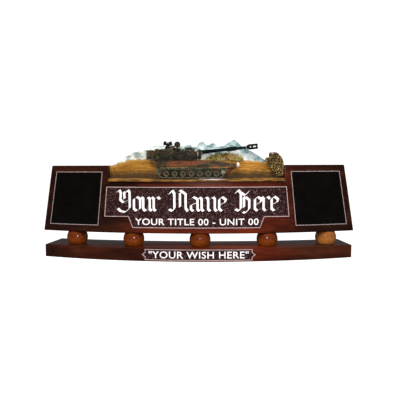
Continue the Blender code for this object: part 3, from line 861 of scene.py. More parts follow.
def landscape(x, h):
    """Paint colour of the backdrop at x and at height h above the ledge."""
    top = skyline(x)
    wobble = fractal(x, h, 9.0) * 2.2
    streak = noise.noise(Vector((x / 30.0, 5.0, h / 1.3)))
    field_top = 22.5 + 9 * smooth(-130, -88, x) - 4 * smooth(40, 104, x) + 0.9 * wobble
    grass = mix((0.25, 0.104, 0.014), (0.46, 0.215, 0.030), smooth(-0.5, 0.6, streak + 0.1 * wobble))
    # Painted shade: the grass darkens towards the left.
    grass = mix(grass, mix(grass, (0, 0, 0), 0.15), smooth(-20, -70, x))
    tuft = noise.noise(Vector((x / 14.0, 9.0, h / 2.2)))
    grass = mix(grass, (0.15, 0.085, 0.018), 0.45 * smooth(0.15, 0.6, tuft))
    # Painted shadow: the land darkens towards the ledge, under and behind the vehicle.
    shadowed_low_land = mix((0.060, 0.032, 0.012), grass, smooth(8.0, 20.0, h + 0.8 * wobble + 2 * streak))
    shadowed_low_land = mix(shadowed_low_land, (0.52, 0.30, 0.08), 0.5 * smooth(field_top - 5, field_top, h))
    rock = fractal(x * 0.7 + h * 0.5, h - x * 0.3, 9.0, 4.0)
    blue = mix((0.15, 0.25, 0.26), (0.40, 0.50, 0.50), smooth(-0.4, 0.5, rock))
    snow = (0.72, 0.76, 0.73)
    depth = top - h
    peak = smooth(15.0, 5.0, depth + 6 * rock)
    far = mix(snow, blue, peak * smooth(-34, -4, x + 4 * wobble))
    far = mix(far, (0.09, 0.18, 0.19), 0.6 * smooth(1.8, 0.3, depth) * smooth(-80, -50, x))
    hill = mix((0.27, 0.31, 0.28), (0.66, 0.68, 0.61), smooth(-0.3, 0.3, rock))
    far = mix(hill, far, smooth(-84, -56, x + 3 * wobble))
    return mix(shadowed_low_land, far, smooth(field_top - 0.8, field_top + 1.2, h))


def make_backdrop():
    left, right = drop_low.x, drop_high.x
    base = drop_low.z
    front_y = FACE + 8.2
    back_y = FACE + 17

    def spot(u, v):
        x = left + (right - left) * u
        top = LEDGE + skyline(x)
        return x, base + (top - base) * v

    def front(u, v):
        x, z = spot(u, v)
        h = z - LEDGE
        carve = 0.55 * fractal(x * 1.2, h, 8.0, 2.0) + 0.15 * noise.noise(Vector((x / 2.2, 1, h / 1.1)))
        edge = min(v * 30, (1 - v) * 30, u * 60, (1 - u) * 60, 1.0)
        return (x, front_y + sagitta(x, BOARD_RADIUS) - (carve + 0.25) * edge, z)

    def back(u, v):
        x, z = spot(u, v)
        return (x, back_y + sagitta(x, BOARD_RADIUS), z)

    def tint(u, v, point):
        return landscape(point[0], point[2] - LEDGE)

    drop = relief("backdrop", 360, 80, front, back, tint)
    finish(drop, SCENERY, "painted_scenery", "scene_backdrop")


def make_ground():
    """Carved earth in front of the backdrop, with ruts and tufts, and a painted shadow and a painted
    highlight under the tracks.
    """
    low, high = box("scene_ground")
    track_low, track_high = box("track_band")
    depth = 11.6

    def height(x, y):
        slope = 1.9 + 2.2 * smooth(0.0, 0.55, y)
        bumps = 0.75 * fractal(x, y * 12, 7.0, 1.0) + 0.35 * noise.noise(Vector((x / 1.6, y * 7, 0)))
        under = smooth(track_low.x - 8, track_low.x + 4, x) * smooth(track_high.x + 8, track_high.x - 4, x)
        return min(4.5, slope + bumps * (1 - 0.6 * under))

    def top(u, v):
        x = low.x + (high.x - low.x) * u
        y = FACE - 4.9 + depth * v
        return (x, y + sagitta(x, BOARD_RADIUS), LEDGE + GAP + height(x, v))

    def bottom(u, v):
        x, y, _ = top(u, v)
        return (x, y, low.z)

    def tint(u, v, point):
        x = point[0]
        streak = noise.noise(Vector((x / 16.0, v * 5, 2.0)))
        earth = mix((0.10, 0.046, 0.012), (0.28, 0.135, 0.030), smooth(-0.35, 0.4, streak))
        moss = noise.noise(Vector((x / 9.0, v * 3, 7.0)))
        earth = mix(earth, (0.085, 0.080, 0.026), 0.7 * smooth(0.15, 0.5, moss))
        # Painted shadow: the earth is darkened under and behind the vehicle.
        under = smooth(-72, -55, x) * smooth(66, 44, x) * smooth(0.12, 0.4, v)
        earth = mix(earth, (0.030, 0.018, 0.020), 0.85 * under)
        # Painted highlight: a pale glint on the earth below the track.
        glint = smooth(2, 12, x) * smooth(44, 30, x) * smooth(0.06, 0.16, v) * smooth(0.6, 0.4, v)
        return mix(earth, (0.80, 0.68, 0.74), 0.9 * glint * smooth(-0.35, 0.05, streak))

    ground = relief("ground", 340, 22, top, bottom, tint)
    finish(ground, SCENERY, "painted_scenery", "scene_ground")


def paint_vertices(obj, pick):
    layer = obj.data.color_attributes.new("shade", "FLOAT_COLOR", "POINT")
    for i, vertex in enumerate(obj.data.vertices):
        layer.data[i].color = (*pick(vertex.co / MM), 1)


def blade(work, root, tip, width, side):
    """A flat leaf from root to tip, widest in the middle."""
    root, tip = Vector(root), Vector(tip)
    middle = root.lerp(tip, 0.45) + Vector((0, -0.25, 0))
    across = (tip - root).cross(Vector((0, 1, 0))).normalized() * width * side
    points = [root, middle + across, tip, middle - across]
    verts = [work.verts.new(p) for p in points] + [work.verts.new(middle + Vector((0, 0.5, 0)))]
    for a, b in ((0, 1), (1, 2), (2, 3), (3, 0)):
        work.faces.new((verts[a], verts[b], verts[4]))
    work.faces.new((verts[3], verts[2], verts[1], verts[0]))


def make_bush():
    """Spiky leaves fanning out behind the vehicle's nose."""
    low, high = box("scene_bush")
    rng = random.Random(5)
    shape = Shape()
    core_y = high.y - 2.0
    for k in range(26):
        t = k / 25
        x = low.x + (high.x - low.x) * (0.14 + 0.72 * t)
        z = low.z + (high.z - low.z) * (0.28 + 0.36 * math.sin(math.pi * t) + 0.08 * rng.random())
        shape.ball(2.6, (x, core_y + 0.4, z), (1.2, 0.45, 0.9), 2)
    for k in range(700):
        t = rng.random()
        x = low.x + (high.x - low.x) * (0.1 + 0.8 * t)
        lift = rng.random()
        z = low.z + (high.z - low.z) * (0.10 + 0.62 * lift * math.sin(math.pi * (0.12 + 0.76 * t)))
        lean = (t - 0.5) * 1.9 + rng.uniform(-0.5, 0.5)
        length = rng.uniform(3.5, 7.0)
        y = core_y - rng.uniform(0.4, 1.6)
        tip = Vector((x + math.sin(lean) * length, y - 0.3, z + math.cos(lean) * length))
        tip.x = min(max(tip.x, low.x), high.x)
        tip.z = min(max(tip.z, low.z), high.z)
        blade(shape.work, (x, y, z), tip, 0.32, 1)
    bush = shape.make("bush", angle=20)

    def pick(p):
        tone = noise.noise(p * 0.52)
        warm = noise.noise(p * 0.09 + Vector((3, 1, 2)))
        green = mix((0.055, 0.042, 0.011), (0.40, 0.31, 0.090), smooth(-0.3, 0.35, tone))
        return mix(green, (0.48, 0.17, 0.050), 0.7 * smooth(0.0, 0.4, warm) * smooth(-0.2, 0.3, tone))

    paint_vertices(bush, pick)
    finish(bush, FOLIAGE, "painted_scenery", "scene_bush")


def within(outline, x, z):
    """True if the point lies inside the closed outline."""
    inside = False
    for (xa, za), (xb, zb) in zip(outline, outline[1:] + outline[:1]):
        if (za > z) != (zb > z) and x < xa + (xb - xa) * (z - za) / (zb - za):
            inside = not inside
    return inside


def make_tree():
    """A carved crown in clumps of leaves that leans to the left over a short trunk."""
    low, high = box("scene_tree")
    rng = random.Random(11)
    noise.seed_set(11)  # noise_vector would otherwise differ from run to run
    crown = [(97.8, 30.5), (101, 33.5), (104.5, 33.8), (105, 40), (110, 41.8), (116, 40), (121, 35.5),
             (124, 30), (125, 20), (124.5, 8), (117, 7), (113.5, 13), (106.5, 18.5), (103.5, 26)]
    shape = Shape()
    face = low.y + 1.6
    route = [(118, 5.5), (116.5, 16), (112, 26), (110, 35)]
    shape.tube([(x, face + 5.5, LEDGE + h) for x, h in route], 1.1, 10)
    middle = (112.5, 24.0)
    heart = [(middle[0] + (x - middle[0]) * 0.84, middle[1] + (h - middle[1]) * 0.86) for x, h in crown]
    shape.outline([(x, LEDGE + h) for x, h in heart], face + 3.2, face + 6)
    placed = 0
    while placed < 900:
        x, h = rng.uniform(97.5, 125.2), rng.uniform(6.5, 42)
        if not within(crown, x, h):
            continue
        placed += 1
        radius = rng.uniform(0.7, 1.3)
        x = min(x, high.x - 1.3 * radius)
        y = face + rng.uniform(0.2, 6.0)
        for vertex in shape.ball(radius, (x, y, LEDGE + h), (1, 0.7, 0.85), 1):
            vertex.co += noise.noise_vector(vertex.co * 0.9) * 0.3
    tree = shape.make("tree", angle=25)

    def pick(p):
        tone = noise.noise(p * 0.56)
        dark = mix((0.020, 0.015, 0.006), (0.12, 0.080, 0.026), smooth(-0.35, 0.15, tone))
        return mix(dark, (0.50, 0.34, 0.12), 0.85 * smooth(0.16, 0.34, tone))

    paint_vertices(tree, pick)
    finish(tree, FOLIAGE, "painted_scenery", "scene_tree")


# ---------------------------------------------------------------- the howitzer


GLACIS = 0.19  # slope of the nose's upper face, in radians


def make_fender(left, right, skirt, roof, lip):
    """The shelf over the track and two strips along the side, in paler paint."""
    fender = Shape().box((96, 0.8, 1.5), (left + 53, lip - 0.05, skirt + 0.9))
    fender.box((30, 0.7, 1.1), (right - 15.5, lip + 0.1, roof - 2.6), GLACIS)
    fender.box((46, 0.5, 0.5), (left + 31, lip - 0.1, skirt + 4.0))
    finish(fender.make("fender", 0.15, 1), FENDER_PAINT, "painted_vehicle")


def make_hull_rear(left, skirt, lip):
    """The dark plate and boxes at the rear corner."""
    rear = Shape().box((6.4, 0.8, 10.2), (left + 3.0, lip + 0.1, skirt + 5.2))
    rear.box((2.4, 1.2, 3.4), (left + 1.6, lip + 0.1, skirt + 4))
    rear.box((2.2, 1.2, 2.2), (left + 4.4, lip + 0.1, skirt + 7))
    finish(rear.make("hull_rear", 0.15, 1), DARK_PAINT, "painted_vehicle")


def make_hull_details(left, right, skirt, roof, lip):
    """Seams, grab rails, a slack tow cable, and fittings on the nose."""
    front = lip - 0.3
    details = Shape().box((80, 0.6, 0.7), (left + 41, lip, roof - 0.5))
    for k in range(6):
        details.box((0.45, 0.5, 8.6), (left + 9 + 13.5 * k, lip, skirt + 5.4))
    for k in range(5):
        details.handle(left + 13.5 + 13.5 * k, lip + 0.2, skirt + 7.4, 4.4, 0.45, 0.5)
    sag = [skirt + 2.3 + 0.55 * math.sin(0.8 * k) for k in range(24)]
    details.tube([(left + 3 + 3.1 * k, lip - 0.1, z) for k, z in enumerate(sag)], 0.28, 6)
    details.box((8, 5, 1.1), (right - 24, front + 3.5, roof - 1.0), GLACIS)
    hatch = Vector((right - 36, front + 4, roof))
    details.rod(2.4, hatch - Vector((0, 0, 1.2)), hatch - Vector((0, 0, 0.02)), 24)
    for k in range(3):
        details.box((0.8, 2.6, 0.8), (right - 10 - 5 * k, front + 2.4, skirt + 7.5 + 0.9 * k), GLACIS)
    details.box((1.6, 0.7, 6.4), (left + 1.0, lip, skirt + 5))
    hook = Vector((right - 3.2, lip, skirt + 2.6))
    details.rod(0.9, hook + Vector((0, 0.1, 0)), hook - Vector((0, 0.3, 0)), 14)
    finish(details.make("hull_details", 0.1, 1), KIT_PAINT, "painted_vehicle")


def make_hull():
    """A level sponson with a blunt nose over a narrower tub, and what is fixed to its side."""
    low, high = box("howitzer_hull")
    left, right, roof = low.x, high.x, high.z
    skirt = low.z + 9
    lip = low.y + 0.3
    sponson = [(left, skirt), (left, roof), (right - 28, roof), (right - 1, skirt + 6),
               (right, skirt + 1), (right - 8, skirt)]
    tub = [(left + 2, skirt + 1), (right - 4, skirt + 1), (right - 12, low.z), (left + 6, low.z)]
    shape = Shape().outline(sponson, low.y + 0.5, high.y)
    shape.outline(tub, FACE + 2.9, high.y)
    hull = rounded(shape.make("hull_core"), 0.45, 2)
    make_fender(left, right, skirt, roof, lip)
    make_hull_rear(left, skirt, lip)
    finish(shade(hull, 35), HULL_PAINT, "painted_vehicle", "howitzer_hull")
    make_hull_details(left, right, skirt, roof, lip)


def track_route(low, high, count):
    """Points and directions spaced evenly round the track."""
    corners = [Vector((low.x, high.z)), Vector((high.x, high.z)), Vector((high.x - 9, low.z)),
               Vector((low.x + 9, low.z))]
    path = []
    for i, corner in enumerate(corners):
        before = (corners[i - 1] - corner).normalized()
        after = (corners[(i + 1) % 4] - corner).normalized()
        for k in range(9):
            t = k / 8
            path.append(corner + 5.5 * (before * (1 - t) ** 2 + after * t ** 2))
    path.append(path[0])
    lengths = [(b - a).length for a, b in zip(path, path[1:])]
    total = sum(lengths)
    for n in range(count):
        goal = total * n / count
        for a, b, length in zip(path, path[1:], lengths):
            if goal <= length:
                direction = (b - a).normalized()
                yield a + direction * goal, direction
                break
            goal -= length


def make_track():
    """Links with an outer pad and an inner guide, joined by pins, all round the wheels."""
    low, high = box("track_band")
    middle = (low.y + high.y) / 2
    depth = high.y - low.y
    shape = Shape()
    link, pad, guide = (1.9, depth, 0.9), (1.1, depth * 0.86, 0.6), (0.7, 0.9, 0.9)
    for point, direction in track_route(low, high, 78):
        inward = Vector((direction.y, -direction.x))
        angle = -math.atan2(direction.y, direction.x)
        for size, sink in ((link, 0.75), (pad, 0.3), (guide, 1.3)):
            place = point + inward * sink
            shape.box(size, (place.x, middle, place.y), angle)
        pin = point + inward * 0.75 + direction * 1.45
        shape.rod(0.34, (pin.x, low.y, pin.y), (pin.x, high.y, pin.y), 8)
    track = shape.make("track", 0.1, 1)
    finish(track, TRACK_PAINT, "painted_vehicle", "track_band")


def make_wheels():
    names = [f"road_wheel_{i}" for i in range(1, 8)] + ["idler_wheel"]
    for name in names:
        low, high = box(name)
        radius, depth = (high.x - low.x) / 2, high.y - low.y
        rim = radius * 0.97
        profile = [(0, depth), (rim, depth), (rim, 0.25), (rim - 0.25, 0), (radius * 0.76, 0),
                   (radius * 0.68, 0.75), (radius * 0.40, 0.9), (radius * 0.30, 0.35),
                   (radius * 0.22, 0.1), (0, 0.1)]
        wheel = turned("disc_" + name, profile, 40)
        wheel.data.transform(Matrix.Rotation(-math.pi / 2, 4, "X"))
        wheel.location = Vector(((low.x + high.x) / 2, low.y, (low.z + high.z) / 2)) * MM
        finish(wheel, WHEEL_PAINT, "painted_vehicle", name)
        make_wheel_trim(name, (low + high) / 2, radius, low.y)


def make_wheel_trim(name, centre, radius, face):
    """Eight bolts and a raised rim, dry-brushed."""
    def spot(angle, reach, y):
        return (centre.x + math.cos(angle) * reach, y, centre.z + math.sin(angle) * reach)

    trim = Shape()
    for k in range(8):
        angle = k * math.pi / 4 + 0.3
        trim.rod(0.28, spot(angle, radius * 0.52, face + 0.35), spot(angle, radius * 0.52, face + 0.95), 8)
    steps = 40
    ring = [spot(2 * math.pi * k / steps, radius * 0.74, face + 0.02) for k in range(steps + 1)]
    for a, b in zip(ring, ring[1:]):
        trim.rod(0.24, a, b, 6)
    finish(trim.make("rim_" + name), WHEEL_RIM, "painted_vehicle")


def make_sprocket():
    low, high = box("drive_sprocket")
    centre = (low + high) / 2
    radius = (high.x - low.x) / 2

    def spot(turn, reach):
        angle = 2 * math.pi * turn
        return centre.x + math.cos(angle) * radius * reach, centre.z + math.sin(angle) * radius * reach

    teeth, bolts = 11, 7
    tooth = ((0.0, 0.82), (0.2, 0.82), (0.36, 1.0), (0.64, 1.0), (0.8, 0.82))
    points = [spot((k + offset) / teeth, reach) for k in range(teeth) for offset, reach in tooth]
    shape = Shape().outline(points, low.y + 0.2, high.y)
    hub = (centre.x, low.y + 0.3, centre.z), (centre.x, low.y, centre.z)
    shape.rod(radius * 0.5, *hub, 24, radius * 0.42)
    for k in range(bolts):
        x, z = spot(k / bolts, 0.62)
        shape.rod(0.25, (x, low.y + 0.3, z), (x, low.y, z), 8)
    finish(shape.make("sprocket", 0.08, 1), WHEEL_RIM, "painted_vehicle", "drive_sprocket")


def make_turret():
    """The turret's body, whose side is given as shares of its width and height."""
    low, high = box("howitzer_turret")
    size = high - low
    side = [(0, 0), (0, 1.0), (0.386, 1.0), (0.395, 0.909), (0.882, 0.909), (0.98, 0.753),
            (1.0, 0.195), (0.964, 0)]
    shape = Shape()
    shape.outline([(low.x + size.x * s, low.z + size.z * t) for s, t in side], low.y + 0.4, high.y)
    finish(shape.make("turret_core", 0.7, 3), DARK_PAINT, "painted_vehicle", "howitzer_turret")
    make_turret_details(low, high, size.x, size.z)


def make_turret_details(low, high, wide, tall):
    rng = random.Random(3)
    front, roof = low.y, high.z - 1.4
    skin = front - 0.1

    def across(share):
        return low.x + wide * share

    def up(share):
        return low.z + tall * share

    trim = Shape()
    for k in range(9):
        trim.box((0.55, 0.5, 4.2), (across(0.47 + 0.028 * k), skin, up(0.48)))
    trim.box((16, 0.4, 0.5), (across(0.58), skin, up(0.66)))
    trim.box((16, 0.4, 0.5), (across(0.58), skin, up(0.3)))
    trim.box((wide * 0.94, 0.5, 0.6), (across(0.5), skin, low.z + 0.6))
    trim.box((wide * 0.37, 0.5, 0.6), (across(0.2), skin, high.z - 1.1))
    trim.box((wide * 0.35, 0.5, 0.6), (across(0.58), skin, high.z - 2.4))
    for k in range(5):
        x, rise = across(0.78 + 0.04 * k), 0.05 * (k % 2)
        trim.rod(0.75, (x, skin + 0.4, up(0.42 + rise)), (x + 0.5, skin - 0.3, up(0.62 + rise)), 12)
    for k in range(7):
        size = (2.5, 0.9, rng.uniform(3.0, 5.5))
        trim.box(size, (across(0.05 + 0.055 * k), skin + 0.1, up(0.25)), rng.uniform(-0.1, 0.1))
    for k in range(4):
        trim.handle(across(0.30 + 0.18 * k), skin, high.z - 3.2, 4, 0.3, 0.6)
    drum = Vector((across(0.9), front + 2.4, high.z))
    trim.rod(1.7, drum - Vector((0, 0, 6.0)), drum - Vector((0, 0, 1.2)), 18)
    trim.box((3, 4, 2.0), (across(0.98), front + 4, high.z - 3.4), 0.2)
    for k in range(48):
        s, t = rng.uniform(0.03, 0.95), rng.uniform(0.14, 0.84)
        size = (rng.uniform(1.0, 3.0), rng.uniform(1.4, 3.2), rng.uniform(1.0, 3.4))
        trim.box(size, (across(s), skin, up(t)), rng.uniform(-0.25, 0.25))
    kit = ((0.345, 4.6, 4.4), (0.42, 6.0, 8.0), (0.50, 7.0, 4.4), (0.56, 6.0, 3.6), (0.66, 3.4, 2.2),
           (0.74, 4.0, 3.4), (0.90, 4.0, 3.2), (0.06, 5.0, 2.6), (0.17, 4.0, 2.4), (0.25, 3.6, 3.0))
    for share, length, rise in kit:
        place = (across(share), front + 0.9, roof + rise * 0.3)
        trim.box((length, 3.4, rise), place, rng.uniform(-0.08, 0.08))
    finish(trim.make("turret_details", 0.1, 1), KIT_PAINT, "painted_vehicle")


def make_rack():
    """The bustle rack as a bar frame full of packed kit."""
    low, high = box("bustle_rack")
    size = high - low
    pack = (low + high) / 2 + Vector((0.3, 0.5, -0.3))
    bars = low.y + 0.5
    shape = Shape().box(size - Vector((1.6, 1.5, 2.4)), pack)
    for k in range(4):
        z = low.z + size.z * (0.06 + 0.27 * k)
        shape.rod(0.42, (low.x + 0.3, bars, z), (high.x, bars, z), 8)
    for k in range(5):
        x = low.x + 0.5 + (size.x - 1) * k / 4
        shape.rod(0.42, (x, bars, low.z + 0.2), (x, bars, high.z - 0.8), 8)
    for share, radius in ((0.22, 1.8), (0.55, 2.2), (0.82, 1.6)):
        x, z = low.x + size.x * share, high.z - 2.1
        shape.rod(radius, (x, low.y + 1.4, z), (x, high.y - 1, z), 16)
    finish(shape.make("rack", 0.12, 1), KIT_PAINT, "painted_vehicle", "bustle_rack")


def make_bin():
    """The stowage bin: a box with a lid, two catches and three ribs."""
    low, high = box("stowage_bin")
    centre = (low + high) / 2
    size = high - low
    shape = Shape().box(size - Vector((0.4, 0.4, 0.4)), centre + Vector((0, 0.2, -0.2)))
    shape.box((size.x, size.y * 0.7, 0.9), (centre.x, centre.y, high.z - 0.9))
    for side in (-1, 1):
        shape.box((0.8, 0.5, 2.4), (centre.x + side * size.x * 0.3, low.y + 0.3, high.z - 1.9))
    for k in (-1, 0, 1):
        shape.box((0.4, 0.3, 4), (centre.x + 3.2 * k, low.y + 0.2, low.z + 2.4))
    finish(shape.make("bin", 0.25, 2), DARK_PAINT, "painted_vehicle", "stowage_bin")


def make_cupola():
    """The low ring on the roof, with eight vision blocks round it."""
    low, high = box("commander_cupola")
    centre = (low + high) / 2
    radius = (high.x - low.x) / 2
    tall = high.z - low.z
    profile = [(0, tall), (radius * 0.62, tall), (radius * 0.72, tall - 0.5), (radius * 0.84, tall - 0.6),
               (radius * 0.98, tall - 1.6), (radius, 0.4), (radius * 0.96, 0), (0, 0)]
    cupola = turned("cupola", profile, 40)
    cupola.location = Vector((centre.x, centre.y, low.z)) * MM
    finish(cupola, DARK_PAINT, "painted_vehicle", "commander_cupola")
    trim = Shape()
    blocks, reach = 8, radius * 0.84
    for k in range(blocks):
        angle = 2 * math.pi * k / blocks + 0.2
        place = (centre.x + math.cos(angle) * reach, centre.y + math.sin(angle) * reach, high.z - 0.6)
        trim.box((1.6, 1.0, 1.2), place, angle + math.pi / 2, "Z")
    finish(trim.make("vision_blocks", 0.12, 1), GUN_PAINT, "painted_vehicle")


def make_hatch_lid():
    low, high = box("open_hatch")
    centre = (low + high) / 2
    radius = (high.z - low.z) / 2
    lid = turned("hatch_lid", [(0, 1.5), (radius * 0.5, 1.4), (radius * 0.9, 0.9), (radius, 0.5),
                               (radius * 0.97, 0.1), (radius * 0.8, 0), (radius * 0.74, 0.3), (0, 0.3)], 36)
    lid.data.transform(Matrix.Rotation(math.pi / 2, 4, "X"))
    lid.location = Vector((centre.x, high.y, centre.z)) * MM
    finish(lid, DARK_PAINT, "painted_vehicle", "open_hatch")


def make_sight():
    low, high = box("sight_head")
    centre = (low + high) / 2
    size = high - low
    sight = Shape().box(size - Vector((0.6, 0.6, 1.0)), centre - Vector((0, 0, 0.4)))
    sight.box((size.x, size.y, 0.7), (centre.x, centre.y, high.z - 0.6))
    sight.box((size.x * 0.5, 0.4, 1.2), (centre.x, low.y + 0.15, centre.z))
    finish(sight.make("sight", 0.2, 2), DARK_PAINT, "painted_vehicle", "sight_head")


def make_machine_gun():
    """A heavy gun on a pintle between its two ammunition boxes."""
    low, high = box("machine_gun")
    y = (low.y + high.y) / 2
    foot = Vector((low.x + (high.x - low.x) * 0.5, y, low.z))
    pintle = [(-4, 0), (4, 0), (3.9, 3.0), (2.4, 3.8), (1.8, 5.4), (-2.0, 5.4), (-2.6, 3.6), (-3.9, 2.6)]
    shape = Shape()
    shape.outline([(foot.x + s, foot.z + t) for s, t in pintle], low.y + 0.5, high.y - 0.5)
    shape.tube([foot + Vector((-3.4, -1.7, 0.4)), foot + Vector((-0.3, -1.7, 4.6)),
                foot + Vector((3.4, -1.7, 0.4))], 0.4, 8)
    centre = foot + Vector((0, 0, 6.6))
    slope = Vector((math.cos(0.12), 0, -math.sin(0.12)))
    shape.box((9.4, 2.3, 3.2), centre - slope * 0.6, 0.12)
    shape.rod(0.9, centre + slope * 4, centre + slope * 6.4, 12, 0.7)
    shape.box((0.8, 1.7, 3.8), centre - slope * 5.9, 0.12)
    for offset, lift, turn, wide, tall in ((4.0, 2.0, -0.35, 3.7, 4.5), (-4.2, 2.4, 0.45, 3.5, 4.5)):
        place = centre + Vector((offset, 0, lift))
        shape.box((wide, 2.8, tall), place, turn)
        rise = Vector((math.sin(turn), 0, math.cos(turn)))
        shape.box(((wide + 0.3), 3.0, 0.6), place + rise * tall * 0.36, turn)
    shape.tube([centre + Vector((2.6, -0.8, 1.4)), centre + Vector((0.6, -0.8, 2.6)),
                centre + Vector((-1.6, -0.8, 1.8))], 0.6, 8)
    finish(shape.make("gun_on_mount", 0.12, 1), GUN_PAINT, "painted_vehicle", "machine_gun")


def make_gun():
    low, high = box("gun_barrel")
    y = (low.y + high.y) / 2
    tilt = math.radians(5.8)
    along = Vector((math.cos(tilt), 0, math.sin(tilt)))
    up = Vector((-math.sin(tilt), 0, math.cos(tilt)))
    start = Vector((low.x + 0.1, y, low.z + 2.3))
    length = (high.x - low.x) / math.cos(tilt) - 0.3
    profile = [(0, length), (1.75, length), (1.85, 49.4), (2.4, 48.8), (2.9, 47.4), (3.0, 46),
               (3.0, 37.2), (2.85, 35.8), (2.4, 34.6), (2.1, 34), (2.2, 20), (2.5, 19.4),
               (2.5, 18), (2.3, 17.4), (2.5, 8), (2.8, 7.2), (2.8, 0.4), (2.6, 0), (0, 0)]
    barrel = turned("barrel", profile, 32)
    barrel.data.transform(Matrix.Rotation(math.pi / 2 - tilt, 4, "Y"))
    barrel.location = start * MM
    finish(barrel, GUN_PAINT, "painted_vehicle", "gun_barrel")
    make_brake(along, up, tilt)
    make_mantlet(along, start)


def make_brake(along, up, tilt):
    """The muzzle brake: a flared neck, three baffles and two bars that leave its ports open."""
    low, high = box("muzzle_brake")
    centre = (low + high) / 2
    shape = Shape()
    for at, reach in ((-7.9, 2.3), (-6.9, 2.9)):
        shape.rod(reach, centre + along * at, centre + along * (at + 1.4), 24, (reach + 0.5))
    for at, half, wide in ((-4.6, 3.2, 3.0), (0.1, 3.7, 3.0), (6.7, 3.6, 2.4)):
        shape.box((wide, 4.0, half * 2), centre + along * at, -tilt)
    for side in (-1, 1):
        shape.box((12.6, 3.6, 2.9), centre + along * 1.2 + up * side * 2.3, -tilt)
    finish(shape.make("brake", 0.3, 2), GUN_PAINT, "painted_vehicle", "muzzle_brake")


def make_mantlet(along, start):
    """The cast block that the barrel comes out of, with its collar, bolts and canvas folds."""
    low, high = box("gun_mantlet")
    wide, tall = high.x - low.x, high.z - low.z
    shape = Shape()
    side = [(0, 0), (0, 1.0), (1.0, 0.97), (1.0, 0.58), (0.76, 0.04)]
    shape.outline([(low.x + wide * s, low.z + tall * t) for s, t in side], low.y + 0.3, high.y)
    shape.rod(3.5, start - along * 4.0, start - along * 0.3, 24, 2.9)
    for k in range(6):
        z = low.z + tall * (0.1 + 0.13 * k)
        shape.box((wide * 0.8, 0.7, 0.7), (low.x + wide * 0.45, low.y + 0.2, z), 0.15 * (-1) ** k)
    shape.box((1.2, 1.6, tall * 0.7), (low.x + wide * 0.2, low.y + 0.4, low.z + tall * 0.45))
    shape.box((1.3, 1.8, tall * 0.5), (low.x + wide * 0.62, low.y + 0.3, low.z + tall * 0.32), 0.12)
    shape.box((3.6, 3, 2.4), (low.x + wide * 0.3, low.y + 2.4, high.z - 0.6), 0.1)
    finish(shape.make("mantlet", 0.25, 2), DARK_PAINT, "painted_vehicle", "gun_mantlet")


def make_lamp():
    low, high = box("head_lamp")
    centre = (low + high) / 2
    radius = (high.z - low.z) / 2
    profile = [(0, 3.9), (0.5, 3.85), (0.7, 3.6), (0.775, 3.3), (0.85, 3.4), (11 / 12, 3.0), (1, 0.9),
               (11 / 12, 0.2), (0.75, 0), (0, 0)]
    lamp = turned("lamp", [(r * radius, h) for r, h in profile], 28)
    lamp.data.transform(Matrix.Rotation(math.pi / 2, 4, "Y"))
    lamp.location = Vector((low.x, centre.y, centre.z)) * MM
    finish(lamp, LAMP, "pale_paint", "head_lamp")


# ---------------------------------------------------------------- studio


def add_floor():
    mesh = bpy.data.meshes.new("floor")
    far = 4000
    mesh.from_pydata([(-far, -far, 0), (far, -far, 0), (far, far, 0), (-far, far, 0)], [], [(0, 1, 2, 3)])
    floor = new_object("floor", mesh)
    floor.location.z = (base_low.z - 0.2) * MM
    paint = Paint("floor_white", 0.9)
    paint.colour(paint.ramp(paint.noise(3.0), [(0.3, (0.30, 0.30, 0.30)), (0.7, (0.32, 0.32, 0.32))]))
    seen = paint.add("ShaderNodeEmission", Strength=0.94)
    both = paint.add("ShaderNodeAddShader")
    paint.link(paint.shader.outputs[0], both.inputs[0])
    paint.link(seen.outputs[0], both.inputs[1])
    dim = paint.add("ShaderNodeBsdfDiffuse", Color=(0.10, 0.10, 0.10, 1))
    pick = paint.add("ShaderNodeMixShader")
    paint.link(paint.add("ShaderNodeLightPath").outputs["Is Camera Ray"], pick.inputs[0])
    paint.link(dim.outputs[0], pick.inputs[1])
    paint.link(both.outputs[0], pick.inputs[2])
    output = [node for node in paint.tree.nodes if node.type == "OUTPUT_MATERIAL"][0]
    paint.link(pick.outputs[0], output.inputs["Surface"])
    mesh.materials.append(paint.material)


def add_light(name, size, place, target, power, highlight=True):
    """An area light, which leaves a highlight on the lacquer or doesn't."""
    data = bpy.data.lights.new(name, "AREA")
    data.shape = "RECTANGLE"
    data.size, data.size_y = size[0] * MM, size[1] * MM
    data.energy = power
    lamp = bpy.data.objects.new(name, data)
    lamp.visible_glossy = highlight
    bpy.context.scene.collection.objects.link(lamp)
    lamp.location = Vector(place) * MM
    lamp.rotation_euler = (Vector(target) - Vector(place)).to_track_quat("-Z", "Y").to_euler()


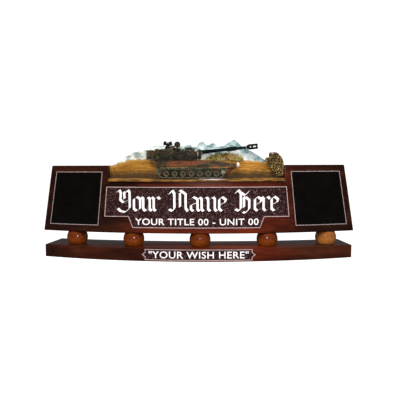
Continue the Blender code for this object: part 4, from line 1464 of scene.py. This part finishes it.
def add_world():
    """White where the camera sees it, and a dimmer even light on the object."""
    bpy.context.scene.view_settings.view_transform = "Standard"
    world = bpy.data.worlds.new("studio")
    world.use_nodes = True
    bpy.context.scene.world = world
    tree = world.node_tree
    tree.nodes.clear()
    seen = tree.nodes.new("ShaderNodeBackground")
    seen.inputs["Strength"].default_value = 1.15
    lit = tree.nodes.new("ShaderNodeBackground")
    lit.inputs["Color"].default_value = (0.95, 0.97, 1.0, 1)
    lit.inputs["Strength"].default_value = 0.16
    seen.inputs["Color"].default_value = (1, 1, 1, 1)
    path = tree.nodes.new("ShaderNodeLightPath")
    either = tree.nodes.new("ShaderNodeMixShader")
    out = tree.nodes.new("ShaderNodeOutputWorld")
    tree.links.new(path.outputs["Is Camera Ray"], either.inputs["Fac"])
    tree.links.new(lit.outputs[0], either.inputs[1])
    tree.links.new(seen.outputs[0], either.inputs[2])
    tree.links.new(either.outputs[0], out.inputs["Surface"])


def add_camera():
    data = bpy.data.cameras.new("camera")
    data.lens = 41.1
    data.sensor_width = 36
    data.clip_start = 0.01
    camera = bpy.data.objects.new("camera", data)
    bpy.context.scene.collection.objects.link(camera)
    camera.location = Vector((29.6, FACE - 648.4, 138.4)) * MM
    look = Vector((-0.036, 0.996, -0.079))
    roll = Quaternion((0, 0, 1), math.radians(-0.2))
    camera.rotation_euler = (look.to_track_quat("-Z", "Y") @ roll).to_euler()
    bpy.context.scene.camera = camera


make_board()
make_inlays()
make_fields()
make_base()
make_balls()
make_screws()
make_lettering()
make_backdrop()
make_ground()
make_bush()
make_tree()
make_hull()
make_track()
make_wheels()
make_sprocket()
make_turret()
make_rack()
make_bin()
make_cupola()
make_hatch_lid()
make_sight()
make_machine_gun()
make_gun()
make_lamp()
add_floor()
add_light("key", (900, 600), (-450, -1100, 1250), (0, 0, 80), 31, False)
add_light("fill", (900, 900), (900, -1000, 700), (0, 0, 80), 12, False)
add_light("flash", (60, 60), (30, FACE - 600, 220), (0, 0, 60), 1.5)
add_light("top", (1200, 500), (0, 100, 1300), (0, 0, 50), 4)
add_world()
add_camera()
